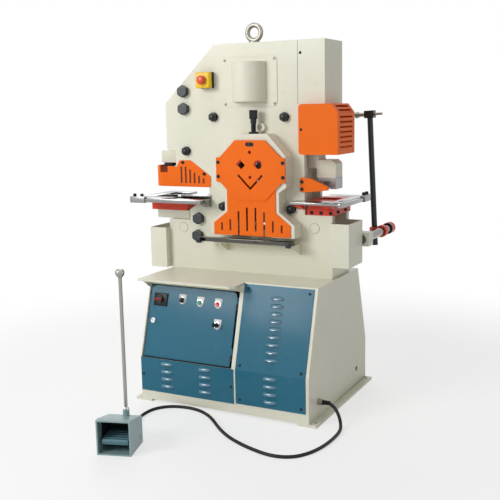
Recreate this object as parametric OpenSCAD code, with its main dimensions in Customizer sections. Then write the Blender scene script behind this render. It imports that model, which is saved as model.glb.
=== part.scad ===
// Hydraulic ironworker: a welded two-plate frame on a sheet-metal cabinet, with a punch at the left,
// bar and angle shears in the middle, a notcher at the right, and a foot pedal on a cord.
// Millimetres. +Z is up, the operator stands at -Y, and the origin is the middle of the anchor holes on the floor.

/* [Cabinet] */
// Width of the cabinet body
cab_w = 824; // [760:1:900]
// Depth of the cabinet below the knee
cab_d = 698; // [640:1:760]
// Depth of the cabinet at its top
cab_top_d = 480; // [440:1:520]
// Height of the cabinet top above the floor
cab_h = 565; // [530:1:600]
// Height of the knee where the faces start to lean back
knee_z = 206; // [180:1:230]
// Thickness of the cabinet's sheet steel
cab_wall = 5; // [4:0.5:8]
// Thickness of the foot flanges
foot_t = 12; // [8:1:20]
// Overhang of the foot flanges at each side
foot_out = 33; // [28:1:50]
// Diameter of the anchor bolt holes
anchor_d = 18; // [12:1:22]
// Distance of the anchor holes between front and back
anchor_y = 630; // [560:1:660]
// Width of the control door
door_w = 454; // [420:1:470]

/* [Frame] */
// Reach of the frame to the left of the middle
frame_left = 427; // [415:1:450]
// Reach of the frame to the right of the middle
frame_right = 398; // [385:1:412]
// Height of the frame above the cabinet
frame_h = 1020; // [990:1:1080]
// Thickness of each frame plate
plate_t = 30; // [24:1:32]
// Clear space between the two frame plates
plate_gap = 143; // [136:1:150]
// Middle plane of the frame behind the cabinet's middle
frame_y = 55.5; // [40:0.5:70]
// Height of the punch and notch tables above the cabinet
work_h = 335; // [325:1:345]
// Across flats of the large tie bolts
tie_af = 55; // [46:1:60]

/* [Ram] */
// Thickness of the ram plate
ram_t = 80; // [70:1:84]
// Stroke of the ram
stroke = 60; // [30:1:60]
// Outside diameter of the hydraulic cylinder
cyl_d = 200; // [180:1:202]
// Diameter of the piston rod
rod_d = 90; // [70:1:100]

/* [Stations] */
// Distance of the punch axis to the left of the frame
punch_out = 43; // [38:1:48]
// Diameter of the punch nut
nut_d = 70; // [60:1:72]
// Diameter of the punch tip
punch_d = 26; // [14:1:30]
// Middle of the shear openings, to the right
shear_x = 48; // [40:1:56]
// Depth of the shear housing in front of the frame
house_d = 74; // [66:1:84]
// Diameter of the round bar opening
bar_d = 30; // [22:1:34]
// Width of the notch tool
notch_w = 84; // [70:1:86]

/* [Foot pedal] */
// Width of the pedal housing
pedal_w = 137; // [126:1:150]
// Depth of the pedal housing
pedal_l = 150; // [144:1:160]
// Height of the pedal housing
pedal_h = 140; // [130:1:160]
// Height of the carrying rod's top above the floor
handle_top = 706; // [600:1:800]

/* [Fits] */
// Running clearance of a shaft in its bore, on the radius
run_fit = 0.05; // [0.02:0.01:0.1]
// Free gap between pieces that slide past each other
gap = 0.5; // [0.3:0.1:1]

/* [Hidden] */
$fn = 48;
over = 1;

// Paint and metal colours
cream = [0.86, 0.85, 0.78];
blue = [0.27, 0.47, 0.58];
orange = [0.96, 0.45, 0.13];
red = [0.80, 0.13, 0.12];
black = [0.10, 0.10, 0.11];
steel = [0.75, 0.76, 0.78];
bronze = [0.72, 0.53, 0.30];
teal = [0.60, 0.72, 0.72];

// Cabinet
cab_x = cab_w / 2;
cab_y = cab_d / 2;
cab_top_y = cab_top_d / 2;
slope_run = cab_y - cab_top_y;
slope_rise = cab_h - knee_z;
slope_a = atan2(slope_run, slope_rise);
slope_l = norm([slope_run, slope_rise]);
foot_in = 52;
anchor_x = cab_x + foot_out / 2;
visor_t = 10;
visor_y = cab_y;
visor_past = 4;
visor_x = shear_x + visor_past;
gusset_shares = [[0, 0], [0.17, 0.14], [0.40, 0.42], [0.72, 0.74], [1, 0.83], [1, 1], [0, 1]];
gusset_h = 56;
line_hole = [150, 50];
lift_hole_d = 26;
lift_hole = [223, 86];
gland_at = [-245, 79];
cord_d = 14;
gland_d = 30;
gland_bore = cord_d + 2 * gap;
sheet_t = 3;
edge_gap = 3;

// Door on the leaning face: x across, height along the slope from the knee
door_left = -cab_x + cab_wall + edge_gap;
door_right = door_left + door_w;
door_low = 6;
door_top_gap = 45;
door_high = slope_l - door_top_gap;
door_sink = 12;
door_rim = 18;
door_round = 26;
stile_w = 20;
panel_left = door_right + edge_gap + stile_w;
visor_side = panel_left - visor_x - gap;
panel_edge = 14;
panel_right = cab_x - panel_edge;
panel_low = 56;
panel_top_gap = 6;
panel_high = slope_l - panel_top_gap;
panel_lap = 16;
vent_left = -cab_x + edge_gap;
vent_right = panel_left - stile_w / 2;
vent_low = 52;
vent_high = knee_z - edge_gap;
louvre_w = 56;
louvre_r = 7;
louvre_slot = 5;
louvre_col_share = 0.50;
louvre_pitch = 32.5;
louvre_first = 52;
vent_col_shares = [0.29, 0.70];
vent_first = 79;
vent_pitch = 34;
louvre_end = 50;
louvre_count = floor((panel_high - louvre_first - louvre_end) / louvre_pitch) + 1;
vent_end = 20;
vent_count = floor((knee_z - vent_first - vent_end) / vent_pitch) + 1;
screw_d = 12;
screw_h = 4;
panel_screw_in = 20;
hinge_d = 12;
hinge_pin_d = 6;
hinge_l = 56;
hinge_shares = [0.16, 0.84];
hinge_gap = 0.4;

// Controls on the door: places as shares of the door's width and height
isolator_shares = [0.125, 0.80];
selector_shares = [0.375, 0.82];
start_shares = [0.58, 0.81];
stop_shares = [0.78, 0.81];
key_shares = [0.795, 0.53];
lock_shares = [0.065, 0.50];
isolator_plate = [70, 8, 58];
isolator_d = 34;
isolator_bar = [44, 16, 14];
legend = [36, 2, 44];
bezel_d = 30;
bezel_h = 7;
button_d = 22;
button_out = 13;
button_stem = 10;
knob_bar = [9, 10, 24];
lock_d = 24;
lock_out = 5;
lock_slot = [18, 2.5];
lock_cam = [16, 3, 36];
lock_deep = 26;
keeper = [15.5, 3.5, 40];
key_bow = [22, 3, 26];
key_shank = [8, 3, 16];
control_back = 26;

// Power unit in the cabinet
tank = [380, 330, 200];
tank_at = [130, 60];
motor_at = 80;
tank_lid = 8;
tank_over = 10;
motor_d = 190;
motor_l = 210;
motor_fin = 12;
motor_fins = 16;
motor_fin_t = 5;
motor_foot = [100, 120, 26];
valve = [160, 80, 90];
valve_coil_d = 46;
line_d = 22;
line_gap = 100;
line_nut_share = 1.6;
elec_plate = [330, 4, 300];
elec_back = 80;
elec_row_shares = [0.28, 0.70];
elec_box = [42, 33, 78];
elec_count = 5;

// Frame
plate_foot = cab_h;
frame_top = cab_h + frame_h;
work_z = cab_h + work_h;
y_front = frame_y - plate_gap / 2 - plate_t;
y_in_front = frame_y - plate_gap / 2;
y_in_back = frame_y + plate_gap / 2;
y_back = frame_y + plate_gap / 2 + plate_t;
x_left = -frame_left;
x_right = frame_right;
corner_w = 263;
corner_h = 252;
throat_in = 222;
throat_h = 323;
jaw_drop = 105;
jaw_z = work_z - jaw_drop;
jaw_step_shares = [0.52, 0.155];
throat_shares = [[0, 1], [0.21, 1], [0.21, 0.76], [0.53, 0.76], [0.91, 0.557], [1, 0.495], [1, 0.402],
    [0.84, 0.294], jaw_step_shares, [jaw_step_shares[0], 0], [0, 0]];
notch_in = 128;
notch_x = x_right - notch_in;
notch_drop = 58;
notch_z = work_z - notch_drop;
side_cover_h = 268;
cover_z = frame_top - side_cover_h;
seam_in = 156;
seam_x = x_right - seam_in;
cyl_x = 13;
cyl_wall = 15;
cyl_drop = 240;
cyl_z = frame_top - cyl_drop;
cyl_h = 155;
cyl_neck = 60;
rod_gland = 25;
top_block = 60;
window_in = 32;
window_w = cyl_d - window_in;
window_over = 7;
shear_window = [236, 368];
shear_window_drop = 138;
shear_window_z = work_z - shear_window_drop;
base_block = 26;
block_in = 212;
right_wall = 30;
upper_block_w = 150;
upper_block_low = 68;
upper_block_share = 0.96;
boss_up = 321;
boss_at = [72, work_z + boss_up];
boss_d = 36;
boss_h = 18;
boss_bore = 14;
plug_d = 44;
plug_h = 1.5;

// Places on the frame plate, as shares of its width and height
plug_shares = [[0.0945, 0.190], [0.9006, 0.2147]];
tie_shares = [[0.1236, 0.8039], [0.1236, 0.7265], [0.2, 0.2353], [0.1927, 0.1569]];
gib_shares = [[0.3103, 0.6892], [0.7358, 0.6853], [0.1309, 0.5392], [0.3588, 0.2951], [0.7709, 0.2951]];
tie_d = 36;
tie_head = 23;
gib_d = 24;
gib_af = 36;
gib_nut = 19;
gib_stud = 28;
pad = 56;
pad_fit = 0.3;
side_pad_h = 40;

// Ram, at the top of its stroke
ram_left_in = 262;
ram_right_in = 153;
ram_drop = 110;
ram_top_drop = 295;
ram_x0 = x_left + ram_left_in;
ram_x1 = x_right - ram_right_in;
ram_low = work_z - ram_drop;
ram_top = frame_top - ram_top_drop;
ram_y0 = frame_y - ram_t / 2;
ram_y1 = frame_y + ram_t / 2;
head_out = 30;
head_up = 156;
head_left = x_left - punch_out - head_out;
head_low = work_z + head_up;
arm_shares = [[0, 1], [0.105, 1], [0.66, 0.55], [0.785, 0.244], [1, 0.244], [1, 0], [0, 0]];
notch_arm_in = 7;
notch_up = 100;
notch_arm = x_right - notch_arm_in;
notch_low = work_z + notch_up;
notch_top_shares = [[0, 0.96], [0.46, 0.80], [0.46, 0.31], [0.88, 0.31], [1, 0.25], [1, 0], [0.38, 0],
    [0.38, 0.16], [0, 0.16]];
notch_arm_h = 250;
bar_window = [150, 220];
bar_window_up = 26;
bar_window_z = work_z + bar_window_up;

// Punch station
punch_x = x_left - punch_out;
nut_h = 16;
punch_len = 100;
punch_body = 34;
punch_taper_share = 0.6;
bolster = [178, 130, 38];
bolster_out = 46;
bolster_left = punch_x - bolster_out;
slug_d = 40;
holder_plate = [200, 130, 32];
holder_out = 78;
holder_left = punch_x - holder_out;
die_ring_d = 86;
die_ring_h = 24;
die_d = 52;
die_bore = punch_d + 2 * gap;
table_t = 12;
table_front = 84;
table_out = 105;
table_left = punch_x - table_out;
table_past = 10;
table_right = x_left + throat_in + table_past;
table_side = 60;
table_back = 60;
post = 24;
bracket_w = 34;
bracket_h = 30;
bracket_leg = 60;
rail = 18;
rail_step = 1;
fence = [80, 26];
fence_clear = 0.4;
fence_knob_d = 18;
fence_knob_h = 14;
fence_knob_shares = [0.25, 0.75];
fence_rule = [160, 6, 24];
fence_rule_up = 26;

// Punch guard
guard_t = 3;
guard_r = 62;
guard_in = 22;
guard_x = punch_x + guard_in;
guard_low = work_z + fence_rule_up + fence_rule[2];
guard_h = 95;
guard_top = guard_low + guard_h;
guard_back = 104;
guard_notch_share = 0.6;
guard_flat_shares = [[0, 0], [0, 0.77], [0.29, 0.77], [0.348, 1], [0.589, 1], [1, 0.41], [1, 0.05], [0.97, 0]];
guard_flat_h = 122;
guard_slot_w = 9;
guard_slot_shares = [0.76, 0.76, 0.66, 0.53, 0.43, 0.33];
guard_slot_low_share = 0.14;
guard_slot_first_share = 0.383;
guard_slot_pitch_share = 0.0933;
guard_notch = [44, 30];
guard_bolt_shares = [[0.42, 0.92], [0.868, 0.50]];
bolt_d = 13;
bolt_h = 7;

// Shear housing and guard: half outlines, as shares of half the width and of the height
house_drop = 155;
house_low = work_z - house_drop;
house_cut_share = 0.86;
house_h = 449;
house_half = 205;
house_shares = [[0.39, 1], [0.82, 0.785], [0.82, 0.49], [0.65, 0.44], [0.65, 0.25], [1, 0.13], [1, 0]];
house_wall = 22;
guard_plate = 5;
face_up = 7;
face_low = work_z + face_up;
face_ear_shares = [0.76, 0.20, 0.34, 0.34];
face_h = 261;
face_half = 150;
face_shares = [[0.48, 1], [1, 0.71], [1.12, 0.71], [1.12, 0.30], [1, 0.30], [0.48, 0]];
skirt_drop = 151;
skirt_low = work_z - skirt_drop;
skirt_h = 262;
skirt_half = 188;
skirt_shares = [[0.63, 1], [0.63, 0.40], [1, 0.20], [1, 0]];
skirt_slot_w = 9;
skirt_slot_pitch = 42;
skirt_slot_low = 20;
skirt_slot_shares = [0.40, 0.33, 0.19, 0.13];
face_bolt_share = 1.05;
face_bolt_row_shares = [0.39, 0.63];
eye_row_share = 0.585;
eye_in = 42;
square_bar = 26;
angle_leg = 88;
angle_slot = 9;
angle_row_share = 0.17;
oval = [42, 18];
oval_row_share = 0.93;
dot_d = 11;
dot_row_shares = [0.80, 0.385];
blade_t = 24;
blade = [214, 330];
blade_drop = 106;
blade_low = work_z - blade_drop;
shelf = [370, 69, 52];
shelf_drop = 237;
shelf_low = work_z - shelf_drop;
shelf_left = 168;
shelf_wall = 8;
shelf_bar = [464, 36, 18];
shelf_bar_left = 266;
shelf_bar_in = 12;
shelf_clamp = [26, 44, 30];

// Hold-down screw of the shear
hold_share = 0.55;
hold_y = y_front - house_d * hold_share;
hold_d = 22;
hold_knob_d = 36;
hold_knob_h = 38;
hold_neck_d = 26;
hold_neck_h = 20;
hold_up = 36;
hold_nut = [38, 8];
hold_foot = [60, 30, 28];
hold_foot_bore = 12;
hold_foot_gap = 2;

// Notch station
die_block_up = 5;
die_block_top = work_z + die_block_up;
notch_die_in = 11;
notch_die_out = 8;
notch_die_left = notch_x + notch_die_in;
notch_die_right = x_right + notch_die_out;
notch_tool_right = notch_arm;
notch_tool_left = notch_arm - notch_w;
notch_fit = 3;
notch_tool_h = 49;
notch_table_t = 10;
notch_table_in = 35;
notch_table_out = 48;
notch_table_left = notch_x - notch_table_in;
notch_table_right = notch_die_right + notch_table_out;
notch_table_deep = 83;
notch_fence_in = 90;
notch_leg = [30, 60, 30];
strip_t = 14;
strip_up = 43;
strip_low = work_z + strip_up;
strip_h = 60;
strip_in = 17;
strip_left = notch_x - strip_in;
strip_len = 130;
strip_shares = [[0, 0], [0.35, 0], [1, 0.16], [1, 0.42], [0.35, 1], [0, 1]];

// Covers
cover_lap = 8;
cover_out = 42;
cover_up = 205;
cover_left = notch_x - cover_lap;
cover_right = x_right + cover_out;
cover_low = work_z + cover_up;
cover_cut_shares = [0.3, 0.75];
cover_front = 44;
cover_back = 56;
cover_corner = 15;
cover_cut = [28, 37];
cover_wall = 3;
cover_slots = 8;
cover_slot_h = 8;
cover_slot_pitch = 21;
cover_slot_in = 26;
side_cover_in = 32;
side_cover_right = x_right - side_cover_in;
dome_r = 80;
dome_drop = 252;
dome_low = frame_top - dome_drop;
dome_h = 170;
dome_plate = [266, 214];
dome_round = 20;
estop_in = 226;
estop_drop = 154;
estop_at = [x_left + estop_in, frame_top - estop_drop];
estop_side = 70;
estop_base = 22;
estop_lid = 25;
estop_bead = 4;
estop_d = 40;
estop_out = 22;
estop_stem = 22;
estop_travel = 5;
eye_x = -12;
eye_ring = 88;
eye_hole = 44;
eye_collar = 48;
eye_collar_h = 12;
eye_shank = 24;
eye_neck = 12;

// Scrap boxes
box_w = 88;
box_d = 170;
box_h = 190;
box_wall = 3;
box_out = 34;
box_front = y_front - box_out;
left_box_up = 2;
right_box_up = 58;
left_box_z = cab_h + left_box_up;
right_box_z = cab_h + right_box_up;
chute_drop = 220;
chute_z = work_z - chute_drop;
chute_in = 90;

// Length stop on the right
stop_d = 40;
stop_out = 84;
stop_x = x_right + stop_out;
stop_drop = 176;
stop_z = work_z - stop_drop;
stop_len = 403;
stop_bracket = 30;
stop_side = 30;
stop_collar = [52, 46];
stop_along = 245;
stop_at = y_in_back + stop_along;
clamp = [25, 44, 64];
arm_d = 26;
arm_down = 68;
arm_up = 560;
arm_out = 35;
arm_lean = 2.8;
arm_head = [44, 40, 34];
tip_d = 12;
tip_len = 70;
tip_back = 60;
tip_ring = [30, 16];

// Foot pedal
pedal_at = [-178, -844];
pedal_turn = 17;
pedal_wall = 6;
pedal_roof_share = 0.78;
pedal_lip = 22;
pedal_gland_d = 24;
treadle_w = 104;
treadle_end = 2;
treadle_axis = [46, 32];
treadle_pin = 10;
treadle_shares = [[0.10, 0.30], [0.10, -0.10], [-1, 0.06], [-1.03, 0.20], [-0.98, 0.26]];
treadle_len = 104;
treadle_rib = 5;
treadle_rib_shares = [[-0.25, 0.287], [-0.45, 0.280], [-0.65, 0.272], [-0.85, 0.265]];
handle_at = [12, 52];
handle_d = 14;
handle_knob = [40, 42];
handle_boss_d = 26;

// Route of the pedal cord, from the cabinet's gland to the pedal's
cord_route = [[432, -245, 79], [452, -245, 79], [470, -247, 75], [487, -251, 65], [502, -259, 51], [516, -272, 35],
    [529, -292, 20], [540, -320, 10], [547, -355, 7], [550, -400, 7], [549, -450, 7], [544, -500, 7],
    [534, -550, 7], [516, -598, 7], [488, -640, 7], [450, -665, 7], [405, -674, 7], [360, -669, 7],
    [315, -656, 7], [264, -637, 7], [214, -613, 7], [170, -588, 7], [130, -559, 7], [92, -527, 7],
    [58, -494, 7], [20, -456, 7], [-20, -421, 7], [-60, -395, 7], [-100, -378, 7], [-145, -370, 7],
    [-190, -373, 7], [-230, -386, 7], [-262, -410, 7], [-284, -446, 7], [-292, -490, 7], [-289, -540, 7],
    [-278, -590, 10], [-261, -636, 18], [-243, -677, 29], [-227, -713, 37], [-216, -742, 40]];
cord_sides = 10;

// Shared helpers

// A box between two corners
module block(low, high) {
    translate(low) cube(high - low);
}

// An outline in x and z, extruded along Y
module slab(y0, y1) {
    translate([0, y1, 0]) rotate([90, 0, 0]) linear_extrude(y1 - y0) children();
}

// An outline in y and z, extruded along X
module web(x0, x1) {
    translate([x0, 0, 0]) rotate([90, 0, 90]) linear_extrude(x1 - x0) children();
}

// A round bar along each axis
module rod_x(y, z, x0, x1, d) {
    translate([x0, y, z]) rotate([0, 90, 0]) cylinder(d = d, h = x1 - x0);
}

module rod_y(x, z, y0, y1, d) {
    translate([x, y1, z]) rotate([90, 0, 0]) cylinder(d = d, h = y1 - y0);
}

module rod_z(x, y, z0, z1, d) {
    translate([x, y, z0]) cylinder(d = d, h = z1 - z0);
}

// A hexagon prism along Y, given across its flats
module hex_y(x, z, y0, y1, flats) {
    translate([x, y1, z]) rotate([90, 0, 0]) cylinder(d = flats / cos(30), h = y1 - y0, $fn = 6);
}

// The cabinet's leaning front face: x across, y inwards, z up the slope from the knee
module on_slope() {
    translate([0, -cab_y, knee_z]) rotate([-slope_a, 0, 0]) children();
}

// A place on the control door, from shares of its width and height
module on_door(shares) {
    on_slope() translate([door_left + shares[0] * door_w, door_sink - sheet_t,
        door_low + shares[1] * (door_high - door_low)]) children();
}

// The foot pedal's own frame
module on_pedal() {
    translate([pedal_at[0], pedal_at[1], 0]) rotate([0, 0, pedal_turn]) children();
}

// Outline points from shares of a width and a height
function spread(shares, w, h) = [for (s = shares) [s[0] * w, s[1] * h]];

// A half outline and its mirror image as one closed outline
function mirrored(half) = concat(half, [for (i = [len(half) - 1:-1:0]) [-half[i][0], half[i][1]]]);

// Places on the frame plate
function plate_x(share) = x_left + share * (x_right - x_left);
function plate_z(share) = cab_h + share * frame_h;
function gib_x(i) = plate_x(gib_shares[i][0]);
function gib_z(i) = plate_z(gib_shares[i][1]);
function tie_x(i) = plate_x(tie_shares[i][0]);
function tie_z(i) = plate_z(tie_shares[i][1]);

// Cabinet

module cabinet_outline(in) {
    knee = knee_z - in * tan(slope_a / 2);
    top = cab_top_y + in * tan(slope_a) - in / cos(slope_a);
    polygon([[-cab_y + in, foot_t + in], [cab_y - in, foot_t + in], [cab_y - in, knee], [top, cab_h - in],
        [-top, cab_h - in], [-cab_y + in, knee]]);
}

module visor() {
    reach = visor_y - cab_top_y;
    back = -cab_top_y + cab_wall / 2;
    translate([0, 0, cab_h - visor_t]) linear_extrude(visor_t)
        polygon([[-cab_x, back], [-cab_x, -visor_y], [visor_x, -visor_y],
            [visor_x + visor_side, -visor_y + visor_side], [visor_x + visor_side, back]]);
    // The gusset starts a wall's thickness inside the leaning face
    web(-cab_x, -cab_x + cab_wall)
        translate([-cab_top_y, cab_h - gusset_h])
            polygon([for (s = gusset_shares) let (face = (1 - s[1]) * gusset_h * tan(slope_a))
                [-face - s[0] * (reach - face) + (s[0] > 0 ? 0 : cab_wall), s[1] * gusset_h]]);
}

module foot(side) {
    difference() {
        block([side * cab_x - (side > 0 ? foot_in : foot_out), -cab_y, 0],
            [side * cab_x + (side > 0 ? foot_out : foot_in), cab_y, foot_t]);
        for (y = [-anchor_y / 2, anchor_y / 2])
            rod_z(side * anchor_x, y, -over, foot_t + over, anchor_d);
    }
}

module base_cabinet() {
    color(cream) {
        difference() {
            union() {
                web(-cab_x, cab_x) cabinet_outline(0);
                visor();
            }
            web(-cab_x + cab_wall, cab_x - cab_wall) cabinet_outline(cab_wall);
            on_slope() block([door_left - edge_gap, -cab_wall, door_low - edge_gap],
                [door_right + edge_gap, cab_wall + door_sink, door_high + edge_gap]);
            on_slope() block([panel_left + panel_lap, -cab_wall, panel_lap],
                [panel_right - panel_lap, cab_wall + over, panel_high - panel_lap]);
            block([panel_left + panel_lap, -cab_y - over, panel_low + panel_lap],
                [panel_right - panel_lap, -cab_y + cab_wall + over, knee_z - panel_lap]);
            block([vent_left + panel_lap, -cab_y - over, vent_low + panel_lap],
                [vent_right - panel_lap, -cab_y + cab_wall + over, vent_high - panel_lap]);
            block([cyl_x - line_hole[0] / 2, line_y - line_hole[1] / 2, cab_h - cab_wall - over],
                [cyl_x + line_hole[0] / 2, line_y + line_hole[1] / 2, cab_h + over]);
            rod_x(lift_hole[0], lift_hole[1], cab_x - cab_wall - over, cab_x + over, lift_hole_d);
            rod_x(gland_at[0], gland_at[1], cab_x - cab_wall - over, cab_x + over, gland_bore);
        }
        foot(-1);
        foot(1);
        // The keeper that the door's lock turns behind
        on_slope() translate([-cab_x + cab_wall / 2, door_sink - sheet_t + lock_deep - gap - keeper[1],
            door_low + lock_shares[1] * (door_high - door_low) - keeper[2] / 2]) cube(keeper);
    }
}

// One pressed louvre on a panel that lies in x and z, with its face at y = 0
module louvre_hood() {
    intersection() {
        rod_x(0, 0, -louvre_w / 2, louvre_w / 2, 2 * louvre_r);
        block([-louvre_w, -louvre_r, 0], [louvre_w, sheet_t / 2, louvre_r]);
    }
}

module louvre_slot() {
    block([-louvre_w / 2 + sheet_t, -over, -louvre_slot], [louvre_w / 2 - sheet_t, sheet_t + over, 0]);
}

module louvre_column(x, first, count, pitch) {
    for (i = [0:count - 1])
        translate([x, 0, first + i * pitch]) children();
}

module vent_panel() {
    width = vent_right - vent_left;
    color(blue) translate([0, -cab_y - sheet_t, 0]) {
        difference() {
            block([vent_left, 0, vent_low], [vent_right, sheet_t, vent_high]);
            for (c = vent_col_shares)
                louvre_column(vent_left + c * width, vent_first, vent_count, vent_pitch) louvre_slot();
        }
        for (c = vent_col_shares)
            louvre_column(vent_left + c * width, vent_first, vent_count, vent_pitch) louvre_hood();
    }
}

module louvre_panel() {
    mid = panel_left + louvre_col_share * (panel_right - panel_left);
    top = [-cab_y + panel_high * sin(slope_a), knee_z + panel_high * cos(slope_a)];
    color(blue) {
        difference() {
            // One sheet, bent at the knee
            web(panel_left, panel_right)
                polygon([[-cab_y - sheet_t, panel_low], [-cab_y, panel_low], [-cab_y, knee_z], top,
                    top + sheet_t * [-cos(slope_a), sin(slope_a)],
                    [-cab_y - sheet_t, knee_z + sheet_t * tan(slope_a / 2)]]);
            on_slope() translate([0, -sheet_t, 0])
                louvre_column(mid, louvre_first, louvre_count, louvre_pitch) louvre_slot();
            translate([0, -cab_y - sheet_t, 0])
                louvre_column(mid, vent_first, vent_count, vent_pitch) louvre_slot();
        }
        on_slope() translate([0, -sheet_t, 0])
            louvre_column(mid, louvre_first, louvre_count, louvre_pitch) louvre_hood();
        translate([0, -cab_y - sheet_t, 0])
            louvre_column(mid, vent_first, vent_count, vent_pitch) louvre_hood();
    }
}

module screw_head(y0) {
    translate([0, y0, 0]) rotate([90, 0, 0]) cylinder(d = screw_d, h = screw_h);
}

module fixing_screws() {
    color(black) {
        for (x = [panel_left + panel_screw_in, panel_right - panel_screw_in]) {
            for (v = [panel_screw_in, panel_high - panel_screw_in])
                on_slope() translate([x, 0, v]) screw_head(-sheet_t);
            translate([x, -cab_y, panel_low + panel_screw_in]) screw_head(-sheet_t);
        }
        for (x = [vent_left + screw_d, vent_right - screw_d])
            translate([x, -cab_y, (vent_low + vent_high) / 2]) screw_head(-sheet_t);
        for (x = [-dome_plate[0], dome_plate[0]])
            for (z = [dome_low - (dome_plate[1] - dome_h) / 2, dome_low + (dome_plate[1] + dome_h) / 2])
                translate([cyl_x + (x - sign(x) * screw_d * 2) / 2, y_front, z + (z > dome_low ? -screw_d : screw_d)])
                    screw_head(-sheet_t);
        translate([seam_x + screw_d, y_front, frame_top - dome_plate[1] / 4]) screw_head(0);
        translate([cover_left + screw_d, y_front - cover_front, (cover_low + cover_z) / 2]) screw_head(0);
        for (s = guard_bolt_shares)
            translate([guard_x + s[0] * (table_right - guard_x), y_front - guard_t,
                guard_low + s[1] * guard_flat_h]) rotate([90, 0, 0]) cylinder(d = bolt_d, h = bolt_h);
        for (s = face_bolt_row_shares)
            for (side = [-1, 1])
                translate([shear_x + side * face_bolt_share * face_half, y_front - house_d - 2 * guard_plate,
                    face_low + s * face_h]) rotate([90, 0, 0]) cylinder(d = bolt_d, h = bolt_h);
    }
}

// Control door

hinge_x = door_right - hinge_d / 2;
hinge_y = hinge_d / 2;
function hinge_z(i) = door_low + hinge_shares[i] * (door_high - door_low);

module door_outline(in) {
    edge = door_right - hinge_d - in;
    difference() {
        translate([door_left + in, door_low + in])
            square([edge - door_left - in, door_high - door_low - 2 * in]);
        translate([edge - door_round, door_high - in - door_round]) difference() {
            square([2 * door_round, 2 * door_round]);
            circle(r = door_round);
        }
    }
}

module control_door() {
    color(blue) difference() {
        on_slope() {
            difference() {
                slab(door_sink - sheet_t, door_sink + door_rim) door_outline(0);
                slab(door_sink, door_sink + door_rim + over) door_outline(sheet_t);
            }
            for (i = [0:len(hinge_shares) - 1]) {
                rod_z(hinge_x, hinge_y, hinge_z(i), hinge_z(i) + hinge_l / 2, hinge_d);
                block([hinge_x - hinge_d, door_sink - sheet_t, hinge_z(i)],
                    [hinge_x, door_sink, hinge_z(i) + hinge_l / 2]);
            }
        }
        for (i = [0:len(hinge_shares) - 1])
            on_slope() rod_z(hinge_x, hinge_y, hinge_z(i) - over, hinge_z(i) + hinge_l / 2 + over,
                hinge_pin_d + 2 * run_fit);
        for (s = [isolator_shares, selector_shares, start_shares, stop_shares, key_shares])
            on_door(s) rod_y(0, 0, -over, sheet_t + over, button_d + 2 * gap);
        on_door(lock_shares) rod_y(0, 0, -over, sheet_t + over, lock_d + 2 * gap);
    }
}

module door_hinges() {
    color(steel) on_slope()
        for (i = [0:len(hinge_shares) - 1]) {
            rod_z(hinge_x, hinge_y, hinge_z(i), hinge_z(i) + hinge_l / 2, hinge_pin_d);
            rod_z(hinge_x, hinge_y, hinge_z(i) - hinge_l / 2, hinge_z(i) - hinge_gap, hinge_d);
            rod_z(hinge_x, hinge_y, hinge_z(i) - hinge_gap, hinge_z(i), hinge_pin_d);
            block([hinge_x, cab_wall, hinge_z(i) - hinge_l / 2],
                [door_right + edge_gap + stile_w - edge_gap, cab_wall + sheet_t, hinge_z(i) - hinge_gap]);
        }
}

// A blank legend plate and a ring, bored for the control that it carries
module bezel() {
    difference() {
        union() {
            block([-legend[0] / 2, -legend[1], -legend[0] / 2],
                [legend[0] / 2, 0, legend[2] - legend[0] / 2]);
            rod_y(0, 0, -legend[1] - bezel_h, 0, bezel_d);
        }
        rod_y(0, 0, -legend[1] - bezel_h - over, over, button_d + 2 * gap);
    }
}

module switch_bezels() {
    color(steel) {
        for (s = [selector_shares, start_shares, stop_shares, key_shares])
            on_door(s) bezel();
        on_door(isolator_shares) difference() {
            block([-isolator_plate[0] / 2, -isolator_plate[1], -isolator_plate[2] / 2],
                [isolator_plate[0] / 2, 0, isolator_plate[2] / 2]);
            rod_y(0, 0, -isolator_plate[1] - over, over, button_d + 2 * gap);
        }
    }
}

module isolator_knob() {
    front = -isolator_plate[1] - gap;
    color(red) on_door(isolator_shares) {
        rod_y(0, 0, front, control_back, button_d);
        rod_y(0, 0, front - isolator_bar[1] / 2, front, isolator_d);
        block([-isolator_bar[0] / 2, front - isolator_bar[1], -isolator_bar[2] / 2],
            [isolator_bar[0] / 2, front - isolator_bar[1] / 2, isolator_bar[2] / 2]);
    }
}

module selector_knob() {
    front = -legend[1] - bezel_h;
    color(black) on_door(selector_shares) {
        rod_y(0, 0, front, control_back, button_d);
        block([-knob_bar[0] / 2, front - knob_bar[1], -knob_bar[2] / 2], [knob_bar[0] / 2, front, knob_bar[2] / 2]);
    }
}

module push_button(shares) {
    on_door(shares) rod_y(0, 0, -button_out - legend[1], button_stem, button_d);
}

module start_button() {
    color("green") push_button(start_shares);
}

module stop_button() {
    color(red) push_button(stop_shares);
}

module key_switch() {
    front = -legend[1] - bezel_h;
    color(black) on_door(key_shares) {
        rod_y(0, 0, front, control_back, button_d);
        block([-key_shank[1] / 2, front - key_shank[2], -key_shank[0] / 2], [key_shank[1] / 2, front, key_shank[0] / 2]);
        block([-key_bow[1] / 2, front - key_shank[2] - key_bow[2], -key_bow[0] / 2],
            [key_bow[1] / 2, front - key_shank[2], key_bow[0] / 2]);
    }
}

// The lock's tongue hangs down when the door is free, and turns to the left behind the keeper
module cam_lock() {
    tongue_y = lock_deep;
    color(steel) on_door(lock_shares) difference() {
        union() {
            rod_y(0, 0, -lock_out, tongue_y, lock_d);
            block([-lock_cam[0] / 2, tongue_y, -lock_cam[2] + lock_cam[0] / 2],
                [lock_cam[0] / 2, tongue_y + lock_cam[1], lock_cam[0] / 2]);
        }
        block([-lock_slot[0] / 2, -lock_out - over, -lock_slot[1] / 2], [lock_slot[0] / 2, -lock_out / 2, lock_slot[1] / 2]);
    }
}

// Power unit and electrics inside the cabinet

floor_z = foot_t + cab_wall;
lid_z = floor_z + tank[2];
line_y = (ram_y1 + y_in_back) / 2;

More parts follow.
